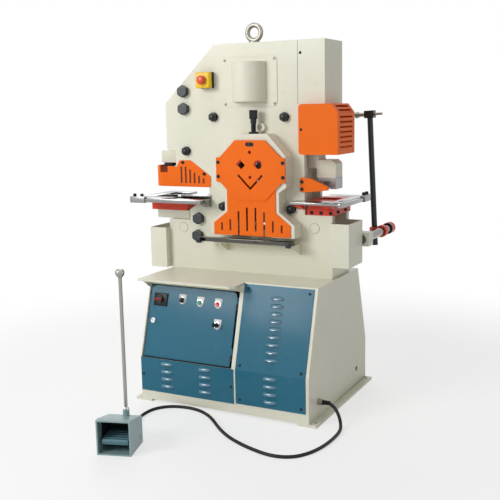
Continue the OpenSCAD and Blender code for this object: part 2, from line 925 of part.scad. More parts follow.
module oil_tank() {
    color(blue) {
        translate([tank_at[0] - tank[0] / 2, tank_at[1] - tank[1] / 2, floor_z]) difference() {
            cube(tank);
            block([cab_wall, cab_wall, cab_wall], [tank[0] - cab_wall, tank[1] - cab_wall, tank[2]]);
        }
        block([tank_at[0] - tank[0] / 2 - tank_over, tank_at[1] - tank[1] / 2 - tank_over, lid_z],
            [tank_at[0] + tank[0] / 2 + tank_over, tank_at[1] + tank[1] / 2 + tank_over, lid_z + tank_lid]);
    }
}

module electric_motor() {
    base = lid_z + tank_lid;
    color(steel) translate([tank_at[0] + motor_at, tank_at[1], base]) {
        cylinder(d = motor_d, h = motor_foot[2]);
        cylinder(d = motor_d - 2 * motor_fin, h = motor_l);
        for (i = [0:motor_fins - 1])
            rotate([0, 0, i * 360 / motor_fins])
                block([motor_d / 2 - 2 * motor_fin, -motor_fin_t / 2, motor_foot[2] / 2],
                    [motor_d / 2 - motor_fin_t, motor_fin_t / 2, motor_l - motor_foot[2] / 2]);
        translate([0, 0, motor_l - motor_foot[2]]) cylinder(d = motor_d, h = motor_foot[2]);
        block([-motor_foot[0] / 2, -motor_d / 2 - motor_foot[2], motor_l / 2 - motor_foot[1] / 2],
            [motor_foot[0] / 2, -motor_d / 4, motor_l / 2 + motor_foot[1] / 2]);
    }
}

// The valves on the tank and the two pipes that rise behind the ram to the cylinder
module valve_block() {
    base = lid_z + tank_lid;
    top = base + valve[2];
    color(steel) {
        block([cyl_x - valve[0] / 2, line_y - valve[1] / 2, base], [cyl_x + valve[0] / 2, line_y + valve[1] / 2, top]);
        for (side = [-1, 1])
            translate([cyl_x + side * line_gap / 2, line_y, 0]) {
                rod_y(0, base + valve[2] / 2, -valve[1], 0, valve_coil_d);
                rod_z(0, 0, top - over, cyl_z, line_d);
                translate([0, 0, top]) cylinder(d = line_d * line_nut_share, h = line_d, $fn = 6);
            }
    }
}

module electrical_panel() {
    left = -cab_x + cab_wall;
    low = door_low + (door_high - door_low - elec_plate[2]) / 2;
    color(steel) on_slope() {
        block([left, elec_back, low], [left + elec_plate[0], elec_back + elec_plate[1], low + elec_plate[2]]);
        for (row = elec_row_shares)
            for (i = [0:elec_count - 1])
                translate([left + (i + 0.5) * elec_plate[0] / elec_count - elec_box[0] / 2, elec_back - elec_box[1],
                    low + row * elec_plate[2] - elec_box[2] / 2]) cube(elec_box);
    }
}

// Frame

module frame_outline() {
    throat = [for (s = throat_shares) [x_left + s[0] * throat_in, jaw_z + s[1] * throat_h]];
    polygon(concat([[x_left, plate_foot], [x_right, plate_foot], [x_right, notch_z], [notch_x, notch_z],
        [notch_x, cover_z], [seam_x, cover_z], [seam_x, frame_top], [x_left + corner_w, frame_top],
        [x_left, frame_top - corner_h]], throat));
}

// One frame plate with its windows and bolt holes
module frame_plate(y0, y1) {
    difference() {
        slab(y0, y1) frame_outline();
        block([cyl_x - window_w / 2, y0 - over, cyl_z - window_over],
            [cyl_x + window_w / 2, y1 + over, cyl_z + cyl_h + window_over]);
        block([shear_x - shear_window[0] / 2, y0 - over, shear_window_z],
            [shear_x + shear_window[0] / 2, y1 + over, shear_window_z + shear_window[1]]);
        for (i = [0:len(tie_shares) - 1])
            rod_y(tie_x(i), tie_z(i), y0 - over, y1 + over, tie_d + 2 * run_fit);
    }
}

module frame_front_plate() {
    color(cream) {
        difference() {
            frame_plate(y_front, y_in_front);
            for (i = [0:len(gib_shares) - 1])
                rod_y(gib_x(i), gib_z(i), y_front - over, y_in_front + over, gib_d + 2 * run_fit);
        }
        difference() {
            rod_y(boss_at[0], boss_at[1], y_front - boss_h, y_front, boss_d);
            rod_y(boss_at[0], boss_at[1], y_front - boss_h - over, y_front - boss_h / 2, boss_bore);
        }
        for (s = plug_shares)
            rod_y(plate_x(s[0]), plate_z(s[1]), y_front - plug_h, y_front, plug_d);
    }
}

// Spacers between the plates, welded to the back one, and the bracket of the stop rod
module frame_weldment() {
    jaw_x = x_left + jaw_step_shares[0] * throat_in;
    jaw_top = jaw_z + jaw_step_shares[1] * throat_h;
    corner_z = frame_top - corner_h;
    color(cream) {
        difference() {
            union() {
                frame_plate(y_in_back, y_back);
                slab(y_in_front, y_in_back) {
                    polygon([[x_left, plate_foot], [x_left + block_in, plate_foot], [x_left + block_in, jaw_top],
                        [jaw_x, jaw_top], [jaw_x, jaw_z], [x_left, jaw_z]]);
                    polygon([[x_right, plate_foot], [x_right, chute_z], [x_right - chute_in, notch_z - right_wall],
                        [x_right - chute_in, notch_z], [notch_x, notch_z], [notch_x, plate_foot]]);
                    polygon([[x_left, plate_foot], [x_right, plate_foot], [x_right, plate_foot + base_block],
                        [x_left, plate_foot + base_block]]);
                    polygon([[x_left + corner_w, frame_top], [seam_x, frame_top], [seam_x, frame_top - top_block],
                        [x_left + corner_w, frame_top - top_block]]);
                    polygon([[x_left, corner_z - upper_block_low],
                        [x_left + upper_block_w, corner_z - upper_block_low],
                        [x_left + upper_block_w, corner_z + upper_block_share * upper_block_w * corner_h / corner_w],
                        [x_left, corner_z]]);
                }
                block([x_right, y_in_back - stop_bracket, stop_z - stop_side],
                    [stop_x + stop_side, y_back, stop_z + stop_side]);
            }
            for (i = [0:len(tie_shares) - 1])
                rod_y(tie_x(i), tie_z(i), y_front, y_back + over, tie_d + 2 * run_fit);
            rod_y(stop_x, stop_z, y_in_back - stop_bracket - over, y_back + over, stop_d + 2 * run_fit);
            rod_z(eye_x, frame_y, frame_top - top_block / 2, frame_top + over, eye_shank + 2 * run_fit);
            for (side = [-1, 1])
                rod_z(cyl_x + side * line_gap / 2, line_y, plate_foot - over, plate_foot + base_block + over,
                    line_d + 2 * edge_gap);
        }
    }
}

module tie_bolts() {
    color(black)
        for (i = [0:len(tie_shares) - 1]) {
            hex_y(tie_x(i), tie_z(i), y_front - tie_head, y_front, tie_af);
            rod_y(tie_x(i), tie_z(i), y_front, y_back, tie_d);
            hex_y(tie_x(i), tie_z(i), y_back, y_back + tie_head, tie_af);
        }
}

module gib_adjusters() {
    color(black)
        for (i = [0:len(gib_shares) - 1]) {
            rod_y(gib_x(i), gib_z(i), y_front - gib_stud, y_in_front, gib_d);
            hex_y(gib_x(i), gib_z(i), y_front - gib_nut, y_front, gib_af);
        }
}

// Bronze pads that guide the ram at the front, the back and both edges
module gib_pads() {
    color(bronze) {
        for (i = [0:len(gib_shares) - 1]) {
            block([gib_x(i) - pad / 2, y_in_front, gib_z(i) - pad / 2],
                [gib_x(i) + pad / 2, ram_y0 - pad_fit, gib_z(i) + pad / 2]);
            block([gib_x(i) - pad / 2, ram_y1 + pad_fit, gib_z(i) - pad / 2],
                [gib_x(i) + pad / 2, y_in_back, gib_z(i) + pad / 2]);
        }
        block([x_left + block_in, ram_y0, ram_low], [ram_x0 - pad_fit, ram_y1, ram_low + side_pad_h]);
        block([ram_x1 + pad_fit, ram_y0, ram_low], [notch_x, ram_y1, ram_low + side_pad_h]);
    }
}

// Covers of the frame

module side_cover() {
    color(cream) difference() {
        block([seam_x, y_front, cover_z], [side_cover_right, y_back, frame_top]);
        block([seam_x - over, y_front + cover_wall, cover_z - over],
            [side_cover_right - cover_wall, y_back - cover_wall, frame_top - cover_wall]);
    }
}

module cylinder_cover() {
    low = dome_low - (dome_plate[1] - dome_h) / 2;
    color(cream) {
        difference() {
            union() {
                slab(y_front - sheet_t, y_front)
                    translate([cyl_x - dome_plate[0] / 2 + dome_round, low + dome_round])
                        rounded([dome_plate[0] - 2 * dome_round, dome_plate[1] - 2 * dome_round], dome_round);
                intersection() {
                    rod_z(cyl_x, y_front, dome_low, dome_low + dome_h, 2 * dome_r);
                    block([cyl_x - dome_r, y_front - dome_r, dome_low], [cyl_x + dome_r, y_front, dome_low + dome_h]);
                }
            }
            rod_z(cyl_x, y_front, dome_low + sheet_t, dome_low + dome_h - sheet_t, 2 * (dome_r - sheet_t));
        }
        slab(y_back, y_back + sheet_t)
            translate([cyl_x - dome_plate[0] / 2 + dome_round, low + dome_round])
                rounded([dome_plate[0] - 2 * dome_round, dome_plate[1] - 2 * dome_round], dome_round);
    }
}

// A rectangle from its corner centres, with round corners of true arcs
module rounded(size, r) {
    translate([-r, 0]) square([size[0] + 2 * r, size[1]]);
    translate([0, -r]) square([size[0], size[1] + 2 * r]);
    for (x = [0, size[0]])
        for (y = [0, size[1]])
            translate([x, y]) circle(r = r);
}

module beam_cover_outline(in) {
    difference() {
        union() {
            translate([cover_left + cover_corner, cover_low + cover_corner])
                rounded([cover_right - cover_left - 2 * cover_corner, cover_z - cover_low - 2 * cover_corner],
                    cover_corner - in);
            translate([(cover_left + cover_right) / 2, cover_low + in])
                square([(cover_right - cover_left) / 2 - in, cover_z - cover_low - 2 * in]);
        }
        polygon([[cover_right - cover_cut[0] - in, cover_z + over], [cover_right - cover_cut[0] - in, cover_z - in],
            [cover_right - in, cover_z - cover_cut[1] - in], [cover_right + over, cover_z - cover_cut[1] - in],
            [cover_right + over, cover_z + over]]);
    }
}

module beam_cover() {
    y0 = y_front - cover_front;
    y1 = frame_y + cover_back;
    color(orange) difference() {
        slab(y0, y1) beam_cover_outline(0);
        slab(y0 + cover_wall, y1 - cover_wall) beam_cover_outline(cover_wall);
        // Open below, and cut back where the frame plate and the side cover stand
        block([cover_left + cover_wall, y0 + cover_wall, cover_low - over],
            [cover_right - cover_wall, y1 - cover_wall, cover_low + cover_corner]);
        block([cover_left - over, y_front, cover_low - over], [notch_x, y1 + over, cover_z + over]);
        for (i = [0:cover_slots - 1])
            translate([0, 0, cover_low + cover_slot_in + i * cover_slot_pitch])
                block([cover_right - cover_wall - over, y0 + cover_slot_in, 0],
                    [cover_right + over, y1 - cover_slot_in, cover_slot_h]);
        for (s = cover_cut_shares)
            translate([cover_right - cover_cut[0] * (1 - s), 0, cover_z - cover_cut[1] * s])
                block([-cover_slot_h, y0 + cover_slot_in, -cover_slot_h / 2],
                    [cover_slot_h, y1 - cover_slot_in, cover_slot_h / 2]);
    }
}

module hydraulic_cylinder() {
    color(steel) translate([cyl_x, frame_y, 0]) difference() {
        union() {
            rod_z(0, 0, cyl_z, cyl_z + cyl_h, cyl_d);
            rod_z(0, 0, cyl_z + cyl_h, frame_top - top_block, 2 * cyl_neck);
            rod_z(0, 0, cyl_z - rod_gland, cyl_z, rod_d + 2 * cyl_wall);
        }
        rod_z(0, 0, cyl_z + cyl_wall, cyl_z + cyl_h - cyl_wall, cyl_d - 2 * cyl_wall);
        rod_z(0, 0, cyl_z - rod_gland - over, cyl_z + cyl_h / 2, rod_d + 2 * run_fit);
    }
}

module piston_rod() {
    head = (cyl_h - 2 * cyl_wall) - stroke - 2 * over;
    top = cyl_z + cyl_h - cyl_wall - over;
    color(steel) translate([cyl_x, frame_y, 0]) {
        rod_z(0, 0, ram_top, top, rod_d);
        rod_z(0, 0, top - head, top, cyl_d - 2 * cyl_wall - 2 * run_fit);
    }
}

module eye_bolt() {
    middle = frame_top + eye_collar_h + eye_ring / 2 - eye_neck / 2;
    thick = (eye_ring - eye_hole) / 2;
    color(steel) translate([eye_x, frame_y, 0]) {
        rod_z(0, 0, frame_top - top_block / 2, frame_top, eye_shank);
        rod_z(0, 0, frame_top, frame_top + eye_collar_h, eye_collar);
        translate([0, 0, middle]) rotate([90, 0, 0])
            rotate_extrude() translate([(eye_hole + thick) / 2, 0]) circle(d = thick);
    }
}

module estop_box() {
    y0 = y_front - estop_base;
    color("gold") {
        block([estop_at[0] - estop_side / 2, y0, estop_at[1] - estop_side / 2],
            [estop_at[0] + estop_side / 2, y_front, estop_at[1] + estop_side / 2]);
        difference() {
            slab(y0 - estop_lid, y0)
                translate([estop_at[0] - estop_side / 2 + estop_bead, estop_at[1] - estop_side / 2 + estop_bead])
                    rounded([estop_side - 2 * estop_bead, estop_side - 2 * estop_bead], estop_bead);
            rod_y(estop_at[0], estop_at[1], y0 - estop_lid - over, y0 - over, button_d + 2 * gap);
        }
    }
}

module estop_button() {
    face = y_front - estop_base - estop_lid;
    color(red) {
        rod_y(estop_at[0], estop_at[1], face - estop_out, face + estop_stem - estop_travel - 2 * over, button_d);
        rod_y(estop_at[0], estop_at[1], face - estop_out, face - estop_travel - over, estop_d);
    }
}

// Ram and its tools

module ram_outline() {
    left_h = ram_top - head_low;
    translate([ram_x0, ram_low]) square([ram_x1 - ram_x0, ram_top - ram_low]);
    polygon([for (s = arm_shares) [ram_x0 - s[0] * (ram_x0 - head_left), head_low + s[1] * left_h]]);
    polygon([for (s = notch_top_shares) [ram_x1 + s[0] * (notch_arm - ram_x1), notch_low + s[1] * notch_arm_h]]);
}

module ram_beam() {
    color(cream) difference() {
        slab(ram_y0, ram_y1) ram_outline();
        block([shear_x - bar_window[0] / 2, ram_y0 - over, bar_window_z],
            [shear_x + bar_window[0] / 2, ram_y1 + over, bar_window_z + bar_window[1]]);
    }
}

module punch_holder() {
    color(black) difference() {
        rod_z(punch_x, frame_y, head_low - nut_h, head_low, nut_d);
        rod_z(punch_x, frame_y, head_low - nut_h - over, head_low - nut_h / 2, punch_body + 2 * run_fit);
    }
}

module punch() {
    top = head_low - nut_h / 2;
    low = head_low - nut_h - punch_len;
    neck = low + punch_len * punch_taper_share;
    color(steel) translate([punch_x, frame_y, 0]) {
        rod_z(0, 0, neck + (punch_body - punch_d) / 2, top, punch_body);
        translate([0, 0, neck]) cylinder(d1 = punch_d, d2 = punch_body, h = (punch_body - punch_d) / 2);
        rod_z(0, 0, low, neck, punch_d);
    }
}

module notch_blade() {
    color(steel) difference() {
        block([notch_tool_left, ram_y0, notch_low - notch_tool_h], [notch_tool_right, ram_y1, notch_low]);
        block([notch_tool_left + notch_w / 3, ram_y0 - over, notch_low - notch_tool_h - over],
            [notch_tool_right - notch_w / 3, ram_y0 + ram_t / 3, notch_low - notch_tool_h / 3]);
    }
}

// The openings for round, square and angle bar, in x and z about the shear's middle
module bar_openings(grow) {
    row = face_low + eye_row_share * face_h;
    translate([shear_x - eye_in, row]) rotate(45) square(square_bar + 2 * grow, center = true);
    translate([shear_x + eye_in, row]) circle(d = bar_d + 2 * grow);
    translate([shear_x, face_low + angle_row_share * face_h - grow * sqrt(2)])
        for (side = [0, 90])
            rotate(45 + side * 1) translate([0, side > 0 ? -angle_slot - 2 * grow : 0])
                square([angle_leg + 2 * grow, angle_slot + 2 * grow]);
}

module shear_blade() {
    color(steel) slab(ram_y0 - blade_t, ram_y0) difference() {
        translate([shear_x - blade[0] / 2, blade_low]) square(blade);
        bar_openings(gap);
    }
}

// Punch station

module punch_bolster() {
    color(cream) difference() {
        block([bolster_left, frame_y - bolster[1] / 2, jaw_z], [bolster_left + bolster[0], frame_y + bolster[1] / 2,
            jaw_z + bolster[2]]);
        rod_z(punch_x, frame_y, jaw_z - over, jaw_z + bolster[2] + over, slug_d);
    }
}

holder_z = jaw_z + bolster[2];
ring_z = holder_z + holder_plate[2];

module die_holder() {
    color(orange) difference() {
        block([holder_left, frame_y - holder_plate[1] / 2, holder_z],
            [holder_left + holder_plate[0], frame_y + holder_plate[1] / 2, ring_z]);
        rod_z(punch_x, frame_y, holder_z - over, ring_z + over, slug_d);
    }
}

module punch_die() {
    color(black) translate([punch_x, frame_y, 0]) difference() {
        union() {
            rod_z(0, 0, ring_z, ring_z + die_ring_h, die_ring_d);
            rod_z(0, 0, ring_z + die_ring_h, work_z, die_d);
        }
        rod_z(0, 0, ring_z - over, work_z + over, die_bore);
    }
}

rail_y = y_front - table_front - rail;

module punch_table() {
    top = work_z;
    low = work_z - table_t;
    in_x = table_left + table_side;
    color(steel) {
        block([table_left, y_front - table_front, low], [table_right, y_front - gap, top]);
        block([table_left, y_front - gap, low], [in_x, y_back + table_back, top]);
        block([table_left, y_back + gap, low], [x_left, y_back + table_back, top]);
        block([table_left, rail_y, top - rail], [table_right, y_front - table_front, top - rail_step]);
        block([table_right - bracket_w, y_front - bracket_leg, low - bracket_h], [table_right, y_front, low]);
        for (side = [-1, 1])
            translate([holder_left, frame_y + side * (holder_plate[1] - post) / 2 - post / 2, ring_z])
                cube([in_x - holder_left, post, low - ring_z]);
        block([table_right - fence_rule[0], y_front - fence_rule[1] - gap, top],
            [table_right, y_front - gap, top + fence_rule_up + fence_rule[2]]);
    }
}

// A stop that slides along a table's rail: a clasp round the rail, with two knobs
module fence_clasp() {
    c = fence_clear;
    difference() {
        block([0, -rail - c - sheet_t, -rail - c - sheet_t], [fence[0], c + sheet_t, fence[1]]);
        block([-over, -rail - c, -rail - c], [fence[0] + over, c, c - rail_step]);
        block([-over, -c, -table_t - c], [fence[0] + over, c + sheet_t + over, fence[1] + over]);
    }
    for (s = fence_knob_shares)
        rod_z(s * fence[0], -rail / 2, fence[1], fence[1] + fence_knob_h, fence_knob_d);
}

module punch_fence() {
    color(black) translate([table_left, y_front - table_front, work_z]) fence_clasp();
}

module punch_guard() {
    y0 = y_front - guard_t;
    inner = guard_r - guard_t;
    arc_y = y0 + guard_r;
    flat_w = table_right - guard_x;
    color(orange) difference() {
        union() {
            slab(y0, y_front) translate([guard_x, guard_low]) polygon(spread(guard_flat_shares, flat_w, guard_flat_h));
            difference() {
                rod_z(guard_x, arc_y, guard_low, guard_top, 2 * guard_r);
                rod_z(guard_x, arc_y, guard_low - over, guard_top + over, 2 * inner);
                block([guard_x, y0 - over, guard_low - over], [guard_x + guard_r + over, arc_y + guard_r, guard_top + over]);
                block([guard_x - guard_r - over, arc_y, guard_low - over], [guard_x + over, arc_y + guard_r + over,
                    guard_top + over]);
            }
            block([guard_x - guard_r, arc_y, guard_low], [guard_x - inner, arc_y + guard_back, guard_top]);
        }
        for (i = [0:len(guard_slot_shares) - 1])
            translate([guard_x + flat_w * (guard_slot_first_share + i * guard_slot_pitch_share), 0, 0])
                block([-guard_slot_w / 2, y0 - over, guard_low + guard_slot_low_share * guard_flat_h],
                    [guard_slot_w / 2, y_front + over, guard_low + guard_slot_shares[i] * guard_flat_h]);
        block([guard_x - guard_notch[0] / 2, y0 - over, guard_top - guard_notch[1]],
            [guard_x + guard_notch[0] / 2, arc_y - inner * guard_notch_share, guard_top + over]);
    }
}

// Shear station

module shear_housing() {
    outline = mirrored(spread(house_shares, house_half, house_h));
    shelf_x = shear_x - shelf_left;
    color(cream) {
        difference() {
            union() {
                slab(y_front - house_d, y_front) difference() {
                    translate([shear_x, house_low]) polygon(outline);
                    translate([shear_x - shear_window[0] / 2 + house_wall, house_low - over])
                        square([shear_window[0] - 2 * house_wall, cavity_top - house_low + over]);
                }
                rod_z(shear_x, hold_y, hold_low - over, hold_low + hold_nut[1], hold_nut[0]);
            }
            rod_z(shear_x, hold_y, cavity_top - over, hold_low + hold_nut[1] + over, hold_d + 2 * run_fit);
        }
        // The bracket that carries the table bar
        difference() {
            block([shelf_x, y_front - shelf[1], shelf_low], [shelf_x + shelf[0], y_front, shelf_low + shelf[2]]);
            block([shelf_x + shelf_wall, y_front - shelf[1] + shelf_wall, shelf_low - over],
                [shelf_x + shelf[0] - shelf_wall, y_front + over, shelf_low + shelf[2] - shelf_wall]);
        }
    }
}

module shear_guard() {
    y0 = y_front - house_d - 2 * guard_plate;
    y1 = y_front - house_d - guard_plate;
    y2 = y_front - house_d;
    color(orange) difference() {
        union() {
            slab(y0, y1) translate([shear_x, face_low]) polygon(mirrored(spread(face_shares, face_half, face_h)));
            slab(y1, y2) translate([shear_x, skirt_low]) polygon(mirrored(spread(skirt_shares, skirt_half, skirt_h)));
            for (side = [-1, 1])
                slab(y1, y2) translate([shear_x + side * face_half * face_ear_shares[0] -
                    face_half * face_ear_shares[1] / 2, face_low + face_h * face_ear_shares[2]])
                    square([face_half * face_ear_shares[1], face_h * face_ear_shares[3]]);
        }
        slab(y0 - over, y2 + over) {
            bar_openings(0);
            for (s = dot_row_shares)
                translate([shear_x, face_low + s * face_h]) circle(d = dot_d);
            translate([shear_x, face_low + oval_row_share * face_h]) {
                square([oval[0] - oval[1], oval[1]], center = true);
                for (side = [-1, 1])
                    translate([side * (oval[0] - oval[1]) / 2, 0]) circle(d = oval[1]);
            }
            for (side = [-1, 1])
                for (i = [0:len(skirt_slot_shares) - 1])
                    translate([shear_x + side * (i + 0.5) * skirt_slot_pitch - skirt_slot_w / 2,
                        skirt_low + skirt_slot_low]) square([skirt_slot_w, skirt_slot_shares[i] * skirt_h]);
        }
    }
}

module shear_table() {
    x0 = shear_x - shelf_bar_left;
    y1 = y_front - shelf[1] + shelf_bar_in;
    z0 = shelf_low + shelf[2];
    color(steel) {
        translate([x0, y1 - shelf_bar[1], z0]) cube(shelf_bar);
        for (x = [x0, x0 + shelf_bar[0] - shelf_clamp[0]])
            block([x, y1 - shelf_bar_in - shelf_clamp[1], z0 + shelf_bar[2] - shelf_clamp[2]],
                [x + shelf_clamp[0], y1 - shelf_bar_in, z0 + shelf_bar[2]]);
    }
}

hold_low = house_low + house_h;
cavity_top = house_low + house_h * house_cut_share;
foot_top = cavity_top - hold_foot_gap;

module hold_down_screw() {
    nut_top = hold_low + hold_nut[1];
    color(black) translate([shear_x, hold_y, 0]) {
        rod_z(0, 0, foot_top - hold_foot_bore, nut_top + hold_up, hold_d);
        rod_z(0, 0, nut_top + hold_up, nut_top + hold_up + hold_neck_h, hold_neck_d);
        rod_z(0, 0, nut_top + hold_up + hold_neck_h, nut_top + hold_up + hold_neck_h + hold_knob_h, hold_knob_d);
    }
}

module hold_down_foot() {
    color(steel) difference() {
        block([shear_x - hold_foot[0] / 2, hold_y - hold_foot[1] / 2, foot_top - hold_foot[2]],
            [shear_x + hold_foot[0] / 2, hold_y + hold_foot[1] / 2, foot_top]);
        rod_z(shear_x, hold_y, foot_top - hold_foot_bore - gap, foot_top + over, hold_d + 2 * run_fit);
    }
}

// Notch station

module notch_die_block() {
    color(red) difference() {
        block([notch_die_left, y_front, notch_z], [notch_die_right, y_back, die_block_top]);
        block([notch_tool_left - notch_fit, ram_y0 - notch_fit, notch_z - over],
            [notch_tool_right + notch_fit, ram_y1 + notch_fit, die_block_top + over]);
    }
}

notch_table_y0 = y_front - gap - notch_table_deep;
notch_table_y1 = y_back + gap + notch_table_deep;

module notch_table() {
    top = die_block_top;
    low = die_block_top - notch_table_t;
    color(steel) {
        block([notch_table_left, notch_table_y0, low], [notch_table_right, y_front - gap, top]);
        block([notch_die_right + gap, notch_table_y0, low], [notch_table_right, notch_table_y1, top]);
        block([notch_die_left, y_back + gap, low], [notch_table_right, notch_table_y1, top]);
        block([notch_table_right, notch_table_y0, top - rail],
            [notch_table_right + rail, notch_table_y1, top - rail_step]);
        // Brackets on the frame plate and on the die block
        block([notch_x - notch_leg[0], y_front - notch_leg[1], low - notch_leg[2]], [notch_x, y_front, low]);
        block([notch_die_right - notch_leg[0], y_front - notch_leg[1], low - notch_leg[2]],
            [notch_die_right, y_front, low]);
        block([notch_die_right - notch_leg[0], y_back, low - notch_leg[2]],
            [notch_die_right, y_back + notch_leg[1], low]);
    }
}

module notch_fence() {
    color(black) translate([notch_table_right, notch_table_y1 - notch_fence_in, die_block_top])
        rotate([0, 0, 90]) fence_clasp();
}

module notch_stripper() {
    color(orange) slab(y_front - strip_t, y_front)
        translate([strip_left, strip_low]) polygon(spread(strip_shares, strip_len, strip_h));
}

// Scrap boxes

module scrap_box(x, z) {
    difference() {
        translate([x, box_front, z]) cube([box_w, box_d, box_h]);
        block([x + box_wall, box_front + box_wall, z + box_wall],
            [x + box_w - box_wall, box_front + box_d - box_wall, z + box_h + over]);
    }
}

module scrap_boxes() {
    color(cream) {
        scrap_box(x_left - box_w, left_box_z);
        // The right box takes the chute, so its wall there is open
        difference() {
            scrap_box(x_right, right_box_z);
            block([x_right - over, y_in_front, chute_z],
                [x_right + box_wall + over, box_front + box_d - box_wall, right_box_z + box_h + over]);
        }
    }
}

// Length stop

module on_arm() {
    translate([stop_x - arm_out, stop_at, stop_z]) rotate([0, -arm_lean, 0]) children();
}

module stop_rod() {
    y0 = y_in_back - stop_bracket;
    color(steel) {
        rod_y(stop_x, stop_z, y0, y0 + stop_len, stop_d);
        rod_y(stop_x, stop_z, y0 + stop_len - stop_collar[1], y0 + stop_len, stop_collar[0]);
    }
}

module stop_clamp() {
    color(red) difference() {
        block([stop_x - arm_out - clamp[0], stop_at - clamp[1] / 2, stop_z - clamp[2] / 2],
            [stop_x + clamp[2] / 2, stop_at + clamp[1] / 2, stop_z + clamp[2] / 2]);
        rod_y(stop_x, stop_z, stop_at - clamp[1], stop_at + clamp[1], stop_d + 2 * run_fit);
        on_arm() rod_z(0, 0, -clamp[2], clamp[2], arm_d + 2 * run_fit);
    }
}

module stop_arm() {
    color(black) on_arm() difference() {
        union() {
            rod_z(0, 0, -arm_down, arm_up, arm_d);
            block([-arm_head[0] / 2, -arm_head[1] / 2, arm_up - arm_head[2]], [arm_head[0] / 2, arm_head[1] / 2, arm_up]);
        }
        rod_x(0, arm_up - arm_head[2] / 2, -arm_head[0], arm_head[0], tip_d + 2 * run_fit);
    }
}

module stop_tip() {
    z = arm_up - arm_head[2] / 2;
    color(steel) on_arm() {
        rod_x(0, z, -tip_len, tip_back, tip_d);
        rod_x(0, z, -tip_len, -tip_len + tip_ring[1], tip_ring[0]);
    }
}

// Foot pedal

// A floor point in the pedal's own frame
function pedal_local(p) = [cos(pedal_turn) * (p[0] - pedal_at[0]) + sin(pedal_turn) * (p[1] - pedal_at[1]),
    cos(pedal_turn) * (p[1] - pedal_at[1]) - sin(pedal_turn) * (p[0] - pedal_at[0])];

module pedal_outline(in) {
    front = -pedal_l / 2 - (in > 0 ? over : 0);
    polygon([[front, in], [pedal_l / 2 - in, in], [pedal_l / 2 - in, pedal_roof_share * pedal_h - in],
        [-pedal_l / 2 + pedal_lip, pedal_h - in], [front, pedal_h - in]]);
}

module pedal_housing() {
    end = cord_route[len(cord_route) - 1];
    local = pedal_local(end);
    color(teal) on_pedal() {
        difference() {
            web(-pedal_w / 2, pedal_w / 2) pedal_outline(0);
            web(-pedal_w / 2 + pedal_wall, pedal_w / 2 - pedal_wall) pedal_outline(pedal_wall);
            rod_x(treadle_axis[0], treadle_axis[1], -pedal_w, pedal_w, treadle_pin + 2 * run_fit);
        }
        rod_z(handle_at[0], handle_at[1], pedal_roof_share * pedal_h - pedal_wall / 2, pedal_h, handle_boss_d);
        rod_y(local[0], end[2], pedal_l / 2 - over, local[1] - 2 * gap, pedal_gland_d);
    }
}

module pedal_treadle() {
    color(black) on_pedal() {
        web(-treadle_w / 2, treadle_w / 2)
            translate(treadle_axis) polygon(spread(treadle_shares, treadle_len, treadle_len));
        for (s = treadle_rib_shares)
            rod_x(treadle_axis[0] + s[0] * treadle_len, treadle_axis[1] + s[1] * treadle_len, -treadle_w / 2,
                treadle_w / 2, treadle_rib);
        rod_x(treadle_axis[0], treadle_axis[1], -pedal_w / 2 + treadle_end, pedal_w / 2 - treadle_end, treadle_pin);
    }
}

module pedal_handle() {
    knob_z = handle_top - handle_knob[0] / 2;
    color(steel) on_pedal() translate([handle_at[0], handle_at[1], 0]) {
        rod_z(0, 0, pedal_h, knob_z, handle_d);
        rod_z(0, 0, handle_top - handle_knob[1], knob_z, handle_knob[0]);
        translate([0, 0, knob_z]) sphere(d = handle_knob[0]);
    }
}

// Cord between the cabinet and the pedal

module cord_gland() {
    start = cord_route[0];
    flange = (start[0] - cab_x) / 2;
    color(black) {
        rod_x(gland_at[0], gland_at[1], cab_x - cab_wall - flange, start[0], cord_d);
        translate([cab_x, gland_at[0], gland_at[1]]) rotate([0, 90, 0]) cylinder(d = gland_d, h = flange, $fn = 6);
        rod_x(gland_at[0], gland_at[1], cab_x, start[0], gland_d * cos(30));
    }
}

function unit(v) = v / norm(v);
function cord_dir(i) = unit(cord_route[min(i + 1, len(cord_route) - 1)] - cord_route[max(i - 1, 0)]);
function cord_side(i) = unit(cross([0, 0, 1], cord_dir(i)));
function cord_ring(i) = [for (k = [0:cord_sides - 1]) cord_route[i] + cord_d / 2 *
    (cos(k * 360 / cord_sides) * cord_side(i) + sin(k * 360 / cord_sides) * cross(cord_dir(i), cord_side(i)))];

module pedal_cord() {
    last = len(cord_route) - 1;
    n = cord_sides;
    color(black) polyhedron(
        points = [for (i = [0:last]) each cord_ring(i)],
        faces = concat([[for (k = [0:n - 1]) k]], [[for (k = [n - 1:-1:0]) last * n + k]],
            [for (i = [0:last - 1]) for (k = [0:n - 1])
                [i * n + k, (i + 1) * n + k, (i + 1) * n + (k + 1) % n, i * n + (k + 1) % n]]));
}

// Assembly

base_cabinet();
vent_panel();
louvre_panel();
fixing_screws();
control_door();
door_hinges();
switch_bezels();
isolator_knob();
selector_knob();
start_button();
stop_button();
key_switch();
cam_lock();
oil_tank();
electric_motor();
valve_block();
electrical_panel();
cord_gland();
pedal_cord();
frame_front_plate();
frame_weldment();
tie_bolts();
gib_adjusters();
gib_pads();
side_cover();
cylinder_cover();
hydraulic_cylinder();
eye_bolt();
estop_box();
estop_button();
beam_cover();
ram_beam();
piston_rod();
punch_holder();
punch();
notch_blade();
shear_blade();
punch_bolster();
die_holder();
punch_die();
punch_table();
punch_fence();
punch_guard();
shear_housing();
shear_guard();
shear_table();
hold_down_screw();
hold_down_foot();
notch_die_block();
notch_table();
notch_fence();
notch_stripper();
scrap_boxes();
stop_rod();
stop_clamp();
stop_arm();
stop_tip();
pedal_housing();
pedal_treadle();
pedal_handle();
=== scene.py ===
"""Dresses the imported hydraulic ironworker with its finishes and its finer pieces.

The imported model's frame has X to the right, Y to the back and Z up. Sizes of pieces are written in
millimetres, and every mesh is made in metres.
"""

from __future__ import annotations

